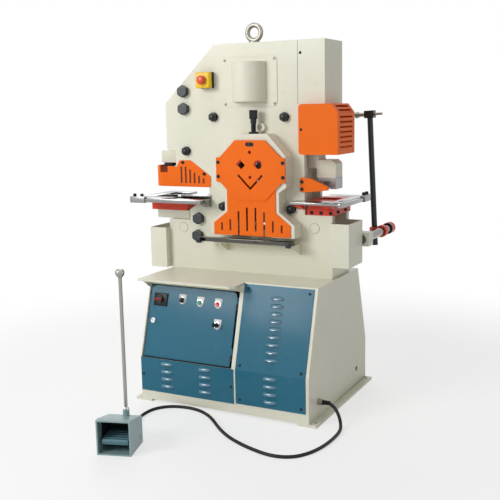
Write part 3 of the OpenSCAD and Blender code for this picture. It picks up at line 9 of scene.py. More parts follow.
import logging
import math
from dataclasses import dataclass, field
from enum import Enum
from typing import Any, Iterable, Mapping, Sequence, Union

import bmesh
import bpy
import numpy as np
from mathutils import Matrix, Vector

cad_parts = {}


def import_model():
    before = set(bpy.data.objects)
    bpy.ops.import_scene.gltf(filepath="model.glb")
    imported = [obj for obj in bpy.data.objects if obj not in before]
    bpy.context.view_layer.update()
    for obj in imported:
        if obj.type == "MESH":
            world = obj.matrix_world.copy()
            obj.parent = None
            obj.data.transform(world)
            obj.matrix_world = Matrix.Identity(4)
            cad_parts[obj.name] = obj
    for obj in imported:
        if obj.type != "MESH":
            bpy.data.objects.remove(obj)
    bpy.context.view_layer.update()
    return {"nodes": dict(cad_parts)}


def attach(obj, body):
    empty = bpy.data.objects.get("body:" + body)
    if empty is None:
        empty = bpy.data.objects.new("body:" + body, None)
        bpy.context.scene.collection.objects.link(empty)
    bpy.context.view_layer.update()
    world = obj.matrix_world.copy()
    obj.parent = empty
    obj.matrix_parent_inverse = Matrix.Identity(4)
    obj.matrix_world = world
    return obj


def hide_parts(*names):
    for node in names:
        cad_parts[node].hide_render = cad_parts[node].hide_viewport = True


LOG = logging.getLogger("ironworker")
Colour = tuple[float, float, float]
Pair = tuple[float, float]
Place = tuple[float, float, float]

# Metres in a millimetre, and distances in metres within which points are one.
MM = 0.001
SAME_POINT, CAD_WELD = 1e-6, 1e-5
# Degrees above which an edge is a crease, and angles up to which faces are one plane or an edge stays sharp.
CREASE = 32.0
FLAT_ANGLE, EDGE_ANGLE = math.radians(0.6), math.radians(15.5)
# The frame plate's front, and the cabinet's front up to its knee, where it starts to lean back.
PLATE_FRONT = -46.0
CABINET_FRONT = -349.0
KNEE = 206.0
LEAN = math.atan2(109, 359)
HERE = Matrix.Identity(4)
SIDEWAYS = Matrix(((0, 0, 1, 0), (1, 0, 0, 0), (0, 1, 0, 0), (0, 0, 0, 1)))
FRONT = Vector((0.0, -1.0, 0.0))
UP = Vector((0.0, 0.0, 1.0))


def at(x: float, y: float, z: float) -> Matrix:
    """A shift in millimetres."""
    return Matrix.Translation((x * MM, y * MM, z * MM))


def facing(x: float, y: float, z: float) -> Matrix:
    """A place whose local Z axis points out of the machine's front."""
    return at(x, y, z) @ Matrix.Rotation(math.pi / 2, 4, "X")


def pointing(way: Vector) -> Matrix:
    """A turn of the local Z axis to a direction."""
    return way.to_track_quat("Z", "Y").to_matrix().to_4x4()


DOOR_SLOPE = at(0, CABINET_FRONT, KNEE) @ Matrix.Rotation(-LEAN, 4, "X")


# Shader maths


class Term:
    """A shader socket that takes part in Python arithmetic."""

    def __init__(self, graph: Graph, socket: bpy.types.NodeSocket | None) -> None:
        """Keeps the socket and the graph that it belongs to."""
        self.graph = graph
        self.socket = socket

    def _math(self, operation: str, first: Value, second: Value) -> Term:
        """Adds one Math node."""
        return self.graph.node("ShaderNodeMath", {"operation": operation}, {0: first, 1: second})

    def __add__(self, other: Value) -> Term:
        """Sum of two values."""
        return self._math("ADD", self, other)

    def __sub__(self, other: Value) -> Term:
        """Difference of two values."""
        return self._math("SUBTRACT", self, other)

    def __rsub__(self, other: Value) -> Term:
        """Difference from a plain number."""
        return self._math("SUBTRACT", other, self)

    def __mul__(self, other: Value) -> Term:
        """Product of two values."""
        return self._math("MULTIPLY", self, other)

    __radd__ = __add__
    __rmul__ = __mul__

    def rise(self, low: float, high: float) -> Term:
        """A smooth step from 0 at low to 1 at high."""
        settings = {"interpolation_type": "SMOOTHSTEP"}
        return self.graph.node("ShaderNodeMapRange", settings, {0: self, 1: low, 2: high})


Value = Union[Term, float, int, str, Sequence[float]]


class Graph:
    """The nodes of a material, of the world or of a node group."""

    def __init__(self, owner: Union[bpy.types.Material, bpy.types.World, bpy.types.NodeTree]) -> None:
        """Empties the owner's tree.

        Args:
            owner: The material, the world or the node group.
        """
        self.owner = owner
        if isinstance(owner, bpy.types.NodeTree):
            self.tree = owner
        else:
            owner.use_nodes = True
            self.tree = owner.node_tree
        self.tree.nodes.clear()

    def node(self, kind: str, settings: Mapping[str, Any] | None = None,
             sockets: Mapping[Union[str, int], Value] | None = None, out: Union[str, int] = 0) -> Term:
        """Adds a node.

        Args:
            kind: The node's type.
            settings: The node's own settings, which are set first.
            sockets: Values or links of its inputs, by name or number.
            out: Which output is wanted.

        Returns:
            That output.
        """
        made = self.tree.nodes.new(kind)
        for key, value in (settings or {}).items():
            setattr(made, key, value)
        for key, value in (sockets or {}).items():
            if isinstance(value, Term):
                self.tree.links.new(value.socket, made.inputs[key])
            elif isinstance(value, (int, float, str)):
                made.inputs[key].default_value = value
            else:
                kept = len(made.inputs[key].default_value)
                made.inputs[key].default_value = (tuple(value) + (1.0,))[:kept]
        return Term(self, made.outputs[out] if made.outputs else None)

    def place(self, stretch: Place = (1.0, 1.0, 1.0)) -> Term:
        """Object coordinates, stretched along each axis."""
        where = self.node("ShaderNodeTexCoord", out="Object")
        return self.node("ShaderNodeMapping", {}, {"Vector": where, "Scale": stretch})

    def noise(self, where: Term, scale: float, detail: float) -> Term:
        """Cloudy noise about 0.5, with its scale per metre and its octaves."""
        return self.node("ShaderNodeTexNoise", {}, {"Vector": where, "Scale": scale, "Detail": detail})

    def mix(self, share: Value, first: Value, second: Value) -> Term:
        """A colour between two colours."""
        return self.node("ShaderNodeMix", {"data_type": "RGBA"}, {0: share, 6: first, 7: second}, 2)

    def bump(self, height: Term, strength: float, deep: float) -> Term:
        """A normal from a height, with the depth in metres."""
        return self.node("ShaderNodeBump", {}, {"Height": height, "Strength": strength, "Distance": deep})

    def seen(self) -> Term:
        """Whether a ray comes from the camera, or from metal or glass that shows the background.

        Returns:
            1 for such a ray and 0 for any other.
        """
        found = self.node("ShaderNodeLightPath", out="Is Camera Ray")
        for kind in ("Is Glossy Ray", "Is Transmission Ray"):
            other = self.node("ShaderNodeLightPath", out=kind)
            found = self.node("ShaderNodeMath", {"operation": "MAXIMUM"}, {0: found, 1: other})
        return found


def shade(colour: Colour, share: float) -> Colour:
    """A colour made lighter or darker."""
    return (min(1.0, colour[0] * share), min(1.0, colour[1] * share), min(1.0, colour[2] * share))


# Finishes


@dataclass(frozen=True)
class Finish:
    """A finish with its colour and the record's slot that it belongs to."""

    name: str
    slot: str
    colour: Colour
    roughness: float = 0.4

    def material(self, worn: bool = False) -> bpy.types.Material:
        """The finish's material, made once.

        Args:
            worn: Whether it is the one for rounded edges, where the finish is worn.

        Returns:
            The material.
        """
        name = self.name + (" edge" if worn else "")
        if name in bpy.data.materials:
            return bpy.data.materials[name]
        graph = Graph(bpy.data.materials.new(name))
        shader = graph.node("ShaderNodeBsdfPrincipled", {}, self.look(graph, worn))
        graph.node("ShaderNodeOutputMaterial", {}, {"Surface": shader})
        return graph.owner

    def look(self, graph: Graph, worn: bool) -> dict[str, Value]:
        """The surface, in nodes.

        Args:
            graph: The material's nodes.
            worn: Whether it is a worn edge's.

        Returns:
            The values and links of the Principled node.
        """
        raise NotImplementedError


@dataclass(frozen=True)
class Enamel(Finish):
    """Sprayed enamel with orange peel, and rubbed thin along its edges."""

    under: Colour = (0.10, 0.095, 0.085)
    wear: float = 0.35
    peel: float = 0.16
    clear: float = 0.15
    gloss: float = 0.35
    cloud_scale: float = 3.2
    grain_scale: float = 420.0
    soil_scale: float = 26.0
    rub_scale: float = 60.0

    def look(self, graph: Graph, worn: bool) -> dict[str, Value]:
        """Enamel, with its undercoat showing on worn edges.

        Args:
            graph: The material's nodes.
            worn: Whether it is a worn edge's.

        Returns:
            The values and links of the Principled node.
        """
        where = graph.place()
        cloud = graph.noise(where, self.cloud_scale, 4.0)
        grain = graph.noise(where, self.grain_scale, 2.0)
        soil = graph.noise(where, self.soil_scale, 6.0).rise(0.56, 0.80)
        tone = graph.mix(cloud.rise(0.30, 0.70), shade(self.colour, 0.965), shade(self.colour, 1.03))
        tone = graph.mix(soil * 0.06, tone, self.under)
        rough = self.roughness + (cloud - 0.5) * 0.14 + soil * 0.10
        if worn:
            rub = graph.noise(where, self.rub_scale, 5.0).rise(0.52, 0.66)
            tone = graph.mix(rub * self.wear, graph.mix(0.35, tone, shade(self.colour, 1.12)), self.under)
            rough = rough + rub * 0.15
        return {"Base Color": tone, "Roughness": rough, "Specular IOR Level": self.gloss,
                "Coat Weight": self.clear, "Coat Roughness": 0.12,
                "Normal": graph.bump(grain, self.peel, 0.0006)}


@dataclass(frozen=True)
class Metal(Finish):
    """Bare steel with the marks of grinding, turning or plating."""

    lay: Place = (1.0, 1.0, 1.0)
    fine: float = 300.0
    streak: float = 0.12
    relief: float = 0.06
    metallic: float = 1.0
    smear_scale: float = 14.0

    def look(self, graph: Graph, worn: bool) -> dict[str, Value]:
        """Metal, brighter on its edges.

        Args:
            graph: The material's nodes.
            worn: Whether it is a worn edge's.

        Returns:
            The values and links of the Principled node.
        """
        lines = graph.noise(graph.place(self.lay), self.fine, 3.0)
        smear = graph.noise(graph.place(), self.smear_scale, 4.0)
        bright = 1.18 if worn else 1.04
        tone = graph.mix(lines, shade(self.colour, 0.82), shade(self.colour, bright))
        tone = graph.mix(smear.rise(0.55, 0.80) * 0.22, tone, shade(self.colour, 0.55))
        rough = self.roughness + (lines - 0.5) * self.streak + (smear - 0.5) * 0.16
        return {"Base Color": tone, "Roughness": rough, "Metallic": self.metallic,
                "Normal": graph.bump(lines, self.relief, 0.0004)}


@dataclass(frozen=True)
class Hammered(Finish):
    """Hammer-finish enamel on a casting: shallow cells with paler rims."""

    cells: float = 210.0
    drift_scale: float = 90.0
    drift_reach: float = 0.008
    cloud_scale: float = 9.0

    def look(self, graph: Graph, worn: bool) -> dict[str, Value]:
        """Cells from smooth Voronoi distances.

        Args:
            graph: The material's nodes.
            worn: Whether it is a worn edge's.

        Returns:
            The values and links of the Principled node.
        """
        where = graph.place()
        drift = graph.node("ShaderNodeTexNoise", {}, {"Vector": where, "Scale": self.drift_scale}, "Color")
        warp = graph.node("ShaderNodeVectorMath", {"operation": "MULTIPLY_ADD"},
                          {0: drift, 1: (self.drift_reach,) * 3, 2: where})
        cell = graph.node("ShaderNodeTexVoronoi", {"feature": "SMOOTH_F1"},
                          {"Vector": warp, "Scale": self.cells})
        cloud = graph.noise(where, self.cloud_scale, 3.0)
        rim = cell.rise(0.25, 0.75)
        tone = graph.mix(rim, shade(self.colour, 0.86), shade(self.colour, 1.16 if worn else 1.08))
        tone = graph.mix(cloud.rise(0.5, 0.8) * 0.18, tone, shade(self.colour, 0.6))
        rough = self.roughness + rim * 0.14 + (cloud - 0.5) * 0.10
        return {"Base Color": tone, "Roughness": rough, "Metallic": 0.15, "Coat Weight": 0.2,
                "Normal": graph.bump(cell, 0.35, 0.0012)}


@dataclass(frozen=True)
class Moulded(Finish):
    """Moulded plastic or rubber with a fine sparked grain."""

    grain: float = 900.0
    relief: float = 0.10
    clear: float = 0.0
    gloss: float = 0.35
    touch_scale: float = 45.0

    def look(self, graph: Graph, worn: bool) -> dict[str, Value]:
        """A moulding, a little paler where it is handled.

        Args:
            graph: The material's nodes.
            worn: Whether it is a worn edge's.

        Returns:
            The values and links of the Principled node.
        """
        where = graph.place()
        spark = graph.noise(where, self.grain, 2.0)
        touch = graph.noise(where, self.touch_scale, 3.0)
        pale = shade(self.colour, 1.2 if worn else 1.08)
        tone = graph.mix(touch.rise(0.35, 0.75), shade(self.colour, 0.92), pale)
        rough = self.roughness + (touch - 0.5) * 0.18
        return {"Base Color": tone, "Roughness": rough, "Specular IOR Level": self.gloss,
                "Coat Weight": self.clear, "Normal": graph.bump(spark, self.relief, 0.0003)}


ALONG_X, ALONG_Z = (0.06, 1.0, 1.0), (1.0, 1.0, 0.05)
NEAR_BLACK, DARK_RED = (0.01, 0.01, 0.01), (0.06, 0.01, 0.01)

CREAM = Enamel("cream enamel", "cream_paint", (0.752, 0.738, 0.608), 0.42)
BLUE = Enamel("steel blue enamel", "blue_paint", (0.022, 0.140, 0.216), 0.40, (0.30, 0.34, 0.36), 0.20,
              clear=0.22, gloss=0.1)
# Painted highlight: the hoods take the panel's blue painted lighter, so that their tops read as lit; their
# gloss is real.
LIT_HOOD = Enamel("pressed hood enamel", "blue_paint", (0.050, 0.180, 0.262), 0.26, clear=0.9, gloss=0.5)
ORANGE = Enamel("guard orange enamel", "orange_paint", (0.900, 0.155, 0.006), 0.46, (0.30, 0.08, 0.02),
                0.25, clear=0.02, gloss=0.15)
# Painted shade: a near-black red that fills the guards' slots where they are in shade.
SLOT_SHADE = Enamel("shaded lining", "orange_paint", (0.110, 0.022, 0.008), 0.60, DARK_RED, clear=0.0)
# Painted shade: a dark red for the shaded walls of the guard's stepped openings, laid on flat.
EYE_STEP_SHADE = Enamel("shaded step", "orange_paint", (0.420, 0.026, 0.008), 0.60, DARK_RED, clear=0.0)
# Painted shade: near black for the gap under the control door and the lock's slot.
GAP_SHADE = Enamel("shaded gap", "black_steel", (0.010, 0.012, 0.013), 0.70, NEAR_BLACK, clear=0.0)
# Painted shade: near-black teal for the inside of the pedal housing.
PEDAL_INSIDE_SHADE = Enamel("shaded pedal inside", "teal_paint", (0.008, 0.022, 0.026), 0.70, NEAR_BLACK, clear=0.0)
VERMILION = Enamel("die vermilion enamel", "red_paint", (0.760, 0.046, 0.016), 0.46, (0.16, 0.03, 0.02), 0.2)
TEAL = Hammered("pedal hammer finish", "teal_paint", (0.272, 0.398, 0.408), 0.36)
DEEP_TEAL = Hammered("treadle hammer finish", "teal_paint", (0.072, 0.180, 0.212), 0.42, 160.0)
OXIDE = Metal("black oxide steel", "black_steel", (0.028, 0.029, 0.032), 0.34, fine=700.0, metallic=0.75)
GUNMETAL = Metal("blackened bar", "black_steel", (0.030, 0.040, 0.042), 0.40, ALONG_Z, 500.0, metallic=0.6)
TIE = Metal("blackened bolt head", "black_steel", (0.058, 0.060, 0.064), 0.40, fine=300.0, metallic=0.7)
STUD = Metal("polished black stud", "black_steel", (0.030, 0.031, 0.034), 0.16, fine=500.0, relief=0.02,
             metallic=0.5)
BAR = Metal("polished table bar", "bright_steel", (0.21, 0.20, 0.185), 0.16, ALONG_X, 420.0)
EDGE_BAR = Metal("dark polished bar", "bright_steel", (0.115, 0.108, 0.098), 0.11, ALONG_X, 420.0)
GROUND = Metal("ground steel", "bright_steel", (0.33, 0.325, 0.32), 0.17, ALONG_X, 420.0)
MILLED = Metal("milled steel", "bright_steel", (0.33, 0.33, 0.33), 0.34, (1.0, 1.0, 0.08), 380.0)
FORGED = Metal("zinc plated forging", "bright_steel", (0.36, 0.34, 0.30), 0.42, fine=120.0, relief=0.2)
CASTING = Metal("grey casting", "bright_steel", (0.22, 0.23, 0.24), 0.6, fine=240.0, relief=0.35,
                metallic=0.5)
CHROME = Metal("hard chrome", "chrome", (0.78, 0.79, 0.81), 0.12, (1.0, 0.04, 0.2), 260.0, 0.06, 0.02)
ROD = Metal("drawn steel rod", "chrome", (0.40, 0.385, 0.35), 0.30, ALONG_Z, 300.0)
BRONZE = Metal("oiled bronze", "bronze", (0.48, 0.29, 0.11), 0.34, fine=200.0)
BLACK = Moulded("black moulding", "black_plastic", (0.012, 0.012, 0.013), 0.34, gloss=0.2)
RED = Moulded("red moulding", "red_plastic", (0.62, 0.018, 0.016), 0.30, clear=0.3)
SIGNAL = Moulded("signal red moulding", "red_plastic", (0.74, 0.070, 0.020), 0.30, clear=0.3)
GARNET = Moulded("dark red moulding", "red_plastic", (0.260, 0.012, 0.012), 0.36, gloss=0.25)
GREEN = Moulded("green moulding", "green_plastic", (0.010, 0.285, 0.175), 0.34)
YELLOW = Moulded("yellow moulding", "yellow_plastic", (0.880, 0.560, 0.010), 0.34)
PLATE = Moulded("pale legend plate", "chrome", (0.70, 0.71, 0.72), 0.35, 300.0, 0.04)
JACKET = Moulded("cord jacket", "cord_rubber", (0.012, 0.012, 0.012), 0.46, 600.0, 0.16, gloss=0.25)


# Meshes


def show(name: str, data: bpy.types.ID) -> bpy.types.Object:
    """Puts an object with this data in the scene.

    Args:
        name: The object's name.
        data: Its mesh, curve, lamp or camera.

    Returns:
        The object.
    """
    made = bpy.data.objects.new(name, data)
    bpy.context.scene.collection.objects.link(made)
    return made


def settled(made: bpy.types.Object, name: str, *spent: bpy.types.Object) -> bpy.types.Mesh:
    """Turns an object with modifiers into a plain mesh and removes it.

    Args:
        made: The object.
        name: The mesh's name.
        spent: Other objects that have done their work.

    Returns:
        The mesh.
    """
    mesh = bpy.data.meshes.new_from_object(made.evaluated_get(bpy.context.evaluated_depsgraph_get()))
    mesh.name = name
    made.modifiers.clear()
    for one in (made, *spent):
        bpy.data.objects.remove(one)
    return mesh


def add_piece(name: str, mesh: bpy.types.Mesh, body: str, finish: Finish,
              *stands_for: str) -> bpy.types.Object:
    """Puts a finished mesh in the scene on its body.

    Args:
        name: The piece's name.
        mesh: Its mesh, in place.
        body: The body that it rides on.
        finish: Its finish.
        stands_for: The solids that it replaces.

    Returns:
        The piece.
    """
    piece = show(name, mesh)
    if not mesh.materials:
        mesh.materials.append(finish.material())
    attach(piece, body)
    if stands_for:
        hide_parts(*stands_for)
    LOG.info("%s: %d faces on %s", name, len(mesh.polygons), body)
    return piece


def ring(radii: Sequence[float], height: float) -> list[Vector]:
    """Points round the local Z axis at equal angles.

    Args:
        radii: Each point's radius in millimetres.
        height: Their height in millimetres.

    Returns:
        The points, in metres.
    """
    turns = [(math.tau * i / len(radii), radius * MM) for i, radius in enumerate(radii)]
    return [Vector((r * math.cos(a), r * math.sin(a), height * MM)) for a, r in turns]


def fluted(radius: float, deep: float, teeth: int, height: float) -> list[Vector]:
    """A ring with flutes."""
    return ring([radius - deep * (i % 2) for i in range(2 * teeth)], height)


def hexagon(flats: float, height: float, chamfer: float) -> list[list[Vector]]:
    """Rings of a chamfered hexagon head along Z.

    Args:
        flats: Width across its flats in millimetres.
        height: Its height in millimetres.
        chamfer: Radius of the flat face at its top in millimetres.

    Returns:
        The rings, from its seat to the middle of its top.
    """
    sixth, steps = math.pi / 3, 36
    angles = [math.tau * i / steps for i in range(steps)]
    reach = [flats / 2 / math.cos((a + sixth / 2) % sixth - sixth / 2) for a in angles]
    drop = [max(0.0, (r - chamfer) * math.tan(math.radians(30))) for r in reach]
    foot = ring(reach, 0.0)
    side = [Vector((p.x, p.y, (height - d) * MM)) for p, d in zip(foot, drop)]
    top = ring([min(r, chamfer) for r in reach], height)
    return [foot, side, top, ring([chamfer * 0.9] * steps, height), ring([0.0], height)]


class Shape:
    """A mesh under construction. Its methods take millimetres."""

    def __init__(self) -> None:
        """Starts empty."""
        self.bm = bmesh.new()

    def lathe(self, profile: Sequence[Pair], move: Matrix = HERE, steps: int = 40) -> Shape:
        """Turns a profile about the local Z axis.

        Args:
            profile: Radius and height of each point, from one pole to the other or round a ring.
            move: Where the turned form goes.
            steps: Segments round it.

        Returns:
            This shape.
        """
        return self.loft([ring([radius] * (steps if radius else 1), z) for radius, z in profile], move)

    def loft(self, rings: Sequence[Sequence[Vector]], move: Matrix = HERE) -> Shape:
        """Joins rings of equal count with faces, and closes open ends unless they meet.

        Args:
            rings: The rings in order, in metres. One at an end may be a single point.
            move: Where they go.

        Returns:
            This shape.
        """
        made = [[self.bm.verts.new(move @ point) for point in points] for points in rings]
        steps = max(len(points) for points in made)
        for low, high in zip(made, made[1:]):
            for i in range(steps):
                j = (i + 1) % steps
                corners = [low[i % len(low)], low[j % len(low)], high[j % len(high)], high[i % len(high)]]
                kept = [v for k, v in enumerate(corners) if v not in corners[:k]]
                if len(kept) > 2:
                    self.bm.faces.new(kept)
        meet = (made[0][0].co - made[-1][0].co).length < SAME_POINT
        for end in (made[0], made[-1]):
            if len(end) > 2 and not meet:
                self.bm.faces.new(end)
        return self

    def prism(self, outline: Sequence[Pair], low: float, high: float, move: Matrix = HERE,
              soft: float = 0.0) -> Shape:
        """Extrudes an outline along the local Z axis, with rounded edges.

        Args:
            outline: Points in local x and y.
            low: Where it starts.
            high: Where it ends.
            move: Where the prism goes.
            soft: Width of the rounded edges.

        Returns:
            This shape.
        """
        part = bmesh.new()
        ends = [[part.verts.new((x * MM, y * MM, z * MM)) for x, y in outline] for z in (low, high)]
        part.faces.new(ends[0])
        part.faces.new(ends[1])
        for i in range(len(outline)):
            j = (i + 1) % len(outline)
            part.faces.new((ends[0][i], ends[0][j], ends[1][j], ends[1][i]))
        bmesh.ops.recalc_face_normals(part, faces=part.faces)
        if soft > 0:
            sharp = [e for e in part.edges if e.calc_face_angle(0.0) > math.radians(25)]
            bmesh.ops.bevel(part, geom=sharp, offset=soft * MM, segments=2, profile=0.5, affect="EDGES")
        part.transform(move)
        held = bpy.data.meshes.new("held")
        part.to_mesh(held)
        part.free()
        self.bm.from_mesh(held)
        bpy.data.meshes.remove(held)
        return self

    def box(self, low: Place, high: Place, move: Matrix = HERE, soft: float = 0.0) -> Shape:
        """A box between two local corners, with rounded edges."""
        outline = [(low[0], low[1]), (high[0], low[1]), (high[0], high[1]), (low[0], high[1])]
        return self.prism(outline, low[2], high[2], move, soft)

    def mesh(self, name: str, crease: float = CREASE) -> bpy.types.Mesh:
        """Ends the shape as a mesh with smooth faces and sharp creases.

        Args:
            name: The mesh's name.
            crease: The angle in degrees above which an edge is sharp.

        Returns:
            The mesh.
        """
        bmesh.ops.remove_doubles(self.bm, verts=self.bm.verts, dist=SAME_POINT)
        bmesh.ops.recalc_face_normals(self.bm, faces=self.bm.faces)
        made = bpy.data.meshes.new(name)
        self.bm.to_mesh(made)
        self.bm.free()
        made.shade_smooth()
        made.set_sharp_from_angle(angle=math.radians(crease))
        return made

    def less(self, tool: Shape, name: str) -> bpy.types.Mesh:
        """Ends the shape as a mesh with another shape cut out of it.

        Args:
            tool: The shape that is cut out.
            name: The mesh's name.

        Returns:
            The mesh.
        """
        solid, cutter = show(name, self.mesh(name)), show(name + " tool", tool.mesh(name + " tool"))
        cut = solid.modifiers.new("cut", "BOOLEAN")
        cut.object = cutter
        cut.solver = "EXACT"
        cut.use_self = True
        mesh = settled(solid, name, cutter)
        mesh.materials.clear()
        return mesh

    def add(self, name: str, body: str, finish: Finish, *stands_for: str,
            crease: float = CREASE) -> bpy.types.Object:
        """Ends the shape as a piece on a body."""
        return add_piece(name, self.mesh(name, crease), body, finish, *stands_for)


def islands(node: bpy.types.Object) -> list[np.ndarray]:
    """The separate solids of a node.

    Args:
        node: The node's object.

    Returns:
        The corner points of each solid's triangles in metres, three to a row.
    """
    mesh = node.data
    mesh.calc_loop_triangles()
    points = np.empty(len(mesh.vertices) * 3, np.float32)
    mesh.vertices.foreach_get("co", points)
    keys, index = np.unique(np.round(points.reshape(-1, 3), 5), axis=0, return_inverse=True)
    index = index.ravel()
    triangles = np.array([index[list(t.vertices)] for t in mesh.loop_triangles])
    label, before = np.arange(len(keys)), None
    while before is None or (label != before).any():
        before, label = label, label.copy()
        low = before[triangles].min(axis=1)
        for corner in range(3):
            np.minimum.at(label, triangles[:, corner], low)
    first = label[triangles[:, 0]]
    return [keys[triangles[first == one]] for one in np.unique(first)]


def middle(solid: np.ndarray) -> Vector:
    """The middle of a solid's box."""
    points = solid.reshape(-1, 3)
    return Vector((points.min(axis=0) + points.max(axis=0)) / 2)


def axis_of(solid: np.ndarray) -> Vector:
    """The axis of a short turned solid, pointing to the front of the machine.

    Args:
        solid: Its triangles.

    Returns:
        A unit vector.
    """
    normals = np.cross(solid[:, 1] - solid[:, 0], solid[:, 2] - solid[:, 0])
    size = np.linalg.norm(normals, axis=1)
    spread = np.einsum("i,ij,ik->jk", 1 / np.maximum(size, 1e-12), normals, normals)
    axis = Vector(np.linalg.eigh(spread)[1][:, -1])
    return axis if axis.y < 0 else -axis


# Repeats made by Geometry Nodes


@dataclass
class Stamp:
    """One place of a repeated form, in metres, and the way that its local Z axis points."""

    at: Vector
    axis: Vector


class Repeater:
    """Copies one form to many places with Geometry Nodes."""

    TREE = "copies on points"
    TURN = "turn"
    INPUTS = {"Geometry": "Geometry", "Form": "Object", "Size": "Float", "Finish": "Material"}

    @classmethod
    def tree(cls) -> bpy.types.NodeTree:
        """The node tree, made once, with named inputs for the form, its size and its material.

        Returns:
            The tree.
        """
        if cls.TREE in bpy.data.node_groups:
            return bpy.data.node_groups[cls.TREE]
        made = bpy.data.node_groups.new(cls.TREE, "GeometryNodeTree")
        for word, kind in cls.INPUTS.items():
            made.interface.new_socket(word, in_out="INPUT", socket_type="NodeSocket" + kind)
        made.interface.new_socket("Geometry", in_out="OUTPUT", socket_type="NodeSocketGeometry")
        graph = Graph(made)
        given = {word: graph.node("NodeGroupInput", out=word) for word in cls.INPUTS}
        form = graph.node("GeometryNodeObjectInfo", {}, {"Object": given["Form"], "As Instance": True},
                          "Geometry")
        turn = graph.node("GeometryNodeInputNamedAttribute", {"data_type": "FLOAT_VECTOR"},
                          {"Name": cls.TURN}, "Attribute")
        turn = graph.node("FunctionNodeEulerToRotation", {}, {"Euler": turn})
        copies = graph.node("GeometryNodeInstanceOnPoints", {}, {
            "Points": given["Geometry"], "Instance": form, "Rotation": turn, "Scale": given["Size"]})
        real = graph.node("GeometryNodeRealizeInstances", {}, {"Geometry": copies})
        paint = graph.node("GeometryNodeSetMaterial", {}, {"Geometry": real, "Material": given["Finish"]})
        graph.node("NodeGroupOutput", {}, {"Geometry": paint})
        return made

    @classmethod
    def add(cls, name: str, form: bpy.types.Mesh, places: Sequence[Stamp], body: str, finish: Finish,
            *stands_for: str) -> bpy.types.Object:
        """Makes the copies and adds them as one plain piece.

        Args:
            name: The piece's name.
            form: The form about its own origin.
            places: Where the copies go.
            body: The body that they ride on.
            finish: Their finish.
            stands_for: The solids that they replace.

        Returns:
            The piece.
        """
        points = bpy.data.meshes.new(name + " places")
        points.from_pydata([place.at for place in places], [], [])
        turn = points.attributes.new(cls.TURN, "FLOAT_VECTOR", "POINT")
        for i, place in enumerate(places):
            turn.data[i].vector = place.axis.to_track_quat("Z", "Y").to_euler()
        pattern, holder = show(name + " form", form), show(name + " holder", points)
        modifier = holder.modifiers.new("copies", "NODES")
        modifier.node_group = cls.tree()
        inputs = {item.name: item.identifier for item in modifier.node_group.interface.items_tree
                  if item.in_out == "INPUT"}
        modifier[inputs["Form"]] = pattern
        modifier[inputs["Size"]] = 1.0
        modifier[inputs["Finish"]] = finish.material()
        return add_piece(name, settled(holder, name, pattern), body, finish, *stands_for)


# The machine's parts


class Bevel(Enum):
    """How far the edges of a kind of piece are rounded, in metres."""

    PLATE = 0.0022
    SHEET = 0.0009
    BLOCK = 0.0016
    CASTING = 0.0045
    FINE = 0.0006


@dataclass(frozen=True)
class Dress:
    """The finish and the edges of a solid that stays in sight."""

    finish: Finish
    bevel: Bevel = Bevel.BLOCK
    merge: bool = True

    def apply(self, node: bpy.types.Object) -> None:
        """Gives the solid its finish and rounds its edges, without touching its mesh.

        Args:
            node: The solid's object.
        """
        mesh = node.data
        mesh.materials.clear()
        mesh.materials.append(self.finish.material())
        mesh.materials.append(self.finish.material(worn=True))
        mesh.polygons.foreach_set("material_index", np.zeros(len(mesh.polygons), np.int32))
        mesh.polygons.foreach_set("use_smooth", np.ones(len(mesh.polygons), bool))
        weld = node.modifiers.new("weld", "WELD")
        weld.merge_threshold = CAD_WELD
        if self.merge:
            planes = node.modifiers.new("planes", "DECIMATE")
            planes.decimate_type = "DISSOLVE"
            planes.angle_limit = FLAT_ANGLE
        edges = node.modifiers.new("edges", "BEVEL")
        edges.width = self.bevel.value
        edges.segments = 2
        edges.limit_method = "ANGLE"
        edges.angle_limit = EDGE_ANGLE
        edges.material = 1
        normals = node.modifiers.new("normals", "WEIGHTED_NORMAL")
        normals.weight = 80


NODE_DRESS: tuple[tuple[str, Dress], ...] = (
    ("base_cabinet", Dress(CREAM, Bevel.SHEET, merge=False)),
    ("ram_beam", Dress(CREAM, Bevel.PLATE, merge=False)),
    ("side_cover cylinder_cover scrap_boxes", Dress(CREAM, Bevel.SHEET)),
    ("frame_front_plate frame_weldment", Dress(CREAM, Bevel.PLATE)),
    ("hydraulic_cylinder punch_bolster", Dress(CREAM)),
    ("control_door", Dress(BLUE, Bevel.SHEET)),
    ("oil_tank", Dress(BLUE)),
    ("beam_cover punch_guard", Dress(ORANGE, Bevel.SHEET)),
    ("notch_stripper", Dress(ORANGE)),
    ("die_holder notch_die_block", Dress(VERMILION)),
    ("door_hinges", Dress(OXIDE, Bevel.FINE)),
    ("punch_holder punch_die", Dress(OXIDE)),
    ("cam_lock", Dress(CHROME, Bevel.FINE)),
    ("piston_rod", Dress(CHROME)),
    ("cord_gland eye_bolt", Dress(FORGED, Bevel.FINE)),
    ("punch notch_blade shear_blade", Dress(MILLED, Bevel.FINE)),
    ("valve_block electrical_panel hold_down_foot", Dress(MILLED)),
    ("electric_motor", Dress(CASTING)),
    ("gib_pads", Dress(BRONZE)),
    ("stop_rod", Dress(BAR)),
    ("stop_arm", Dress(GUNMETAL)),
    ("stop_tip", Dress(ROD, Bevel.FINE)),
    ("pedal_housing", Dress(TEAL, Bevel.CASTING)),
    ("pedal_treadle", Dress(DEEP_TEAL)),
)


@dataclass(frozen=True)
class Lamp:
    """A soft square lamp that points at a height on the machine's middle line, in metres and watts."""

    name: str
    at: Place
    aim: float
    size: float
    power: float

    def hang(self) -> None:
        """Hangs the lamp."""
        data = bpy.data.lights.new(self.name, "AREA")
        data.size = self.size
        data.energy = self.power
        way = Vector((0.0, 0.0, self.aim)) - Vector(self.at)
        turn = way.to_track_quat("-Z", "Y").to_matrix().to_4x4()
        show(self.name, data).matrix_world = Matrix.Translation(self.at) @ turn


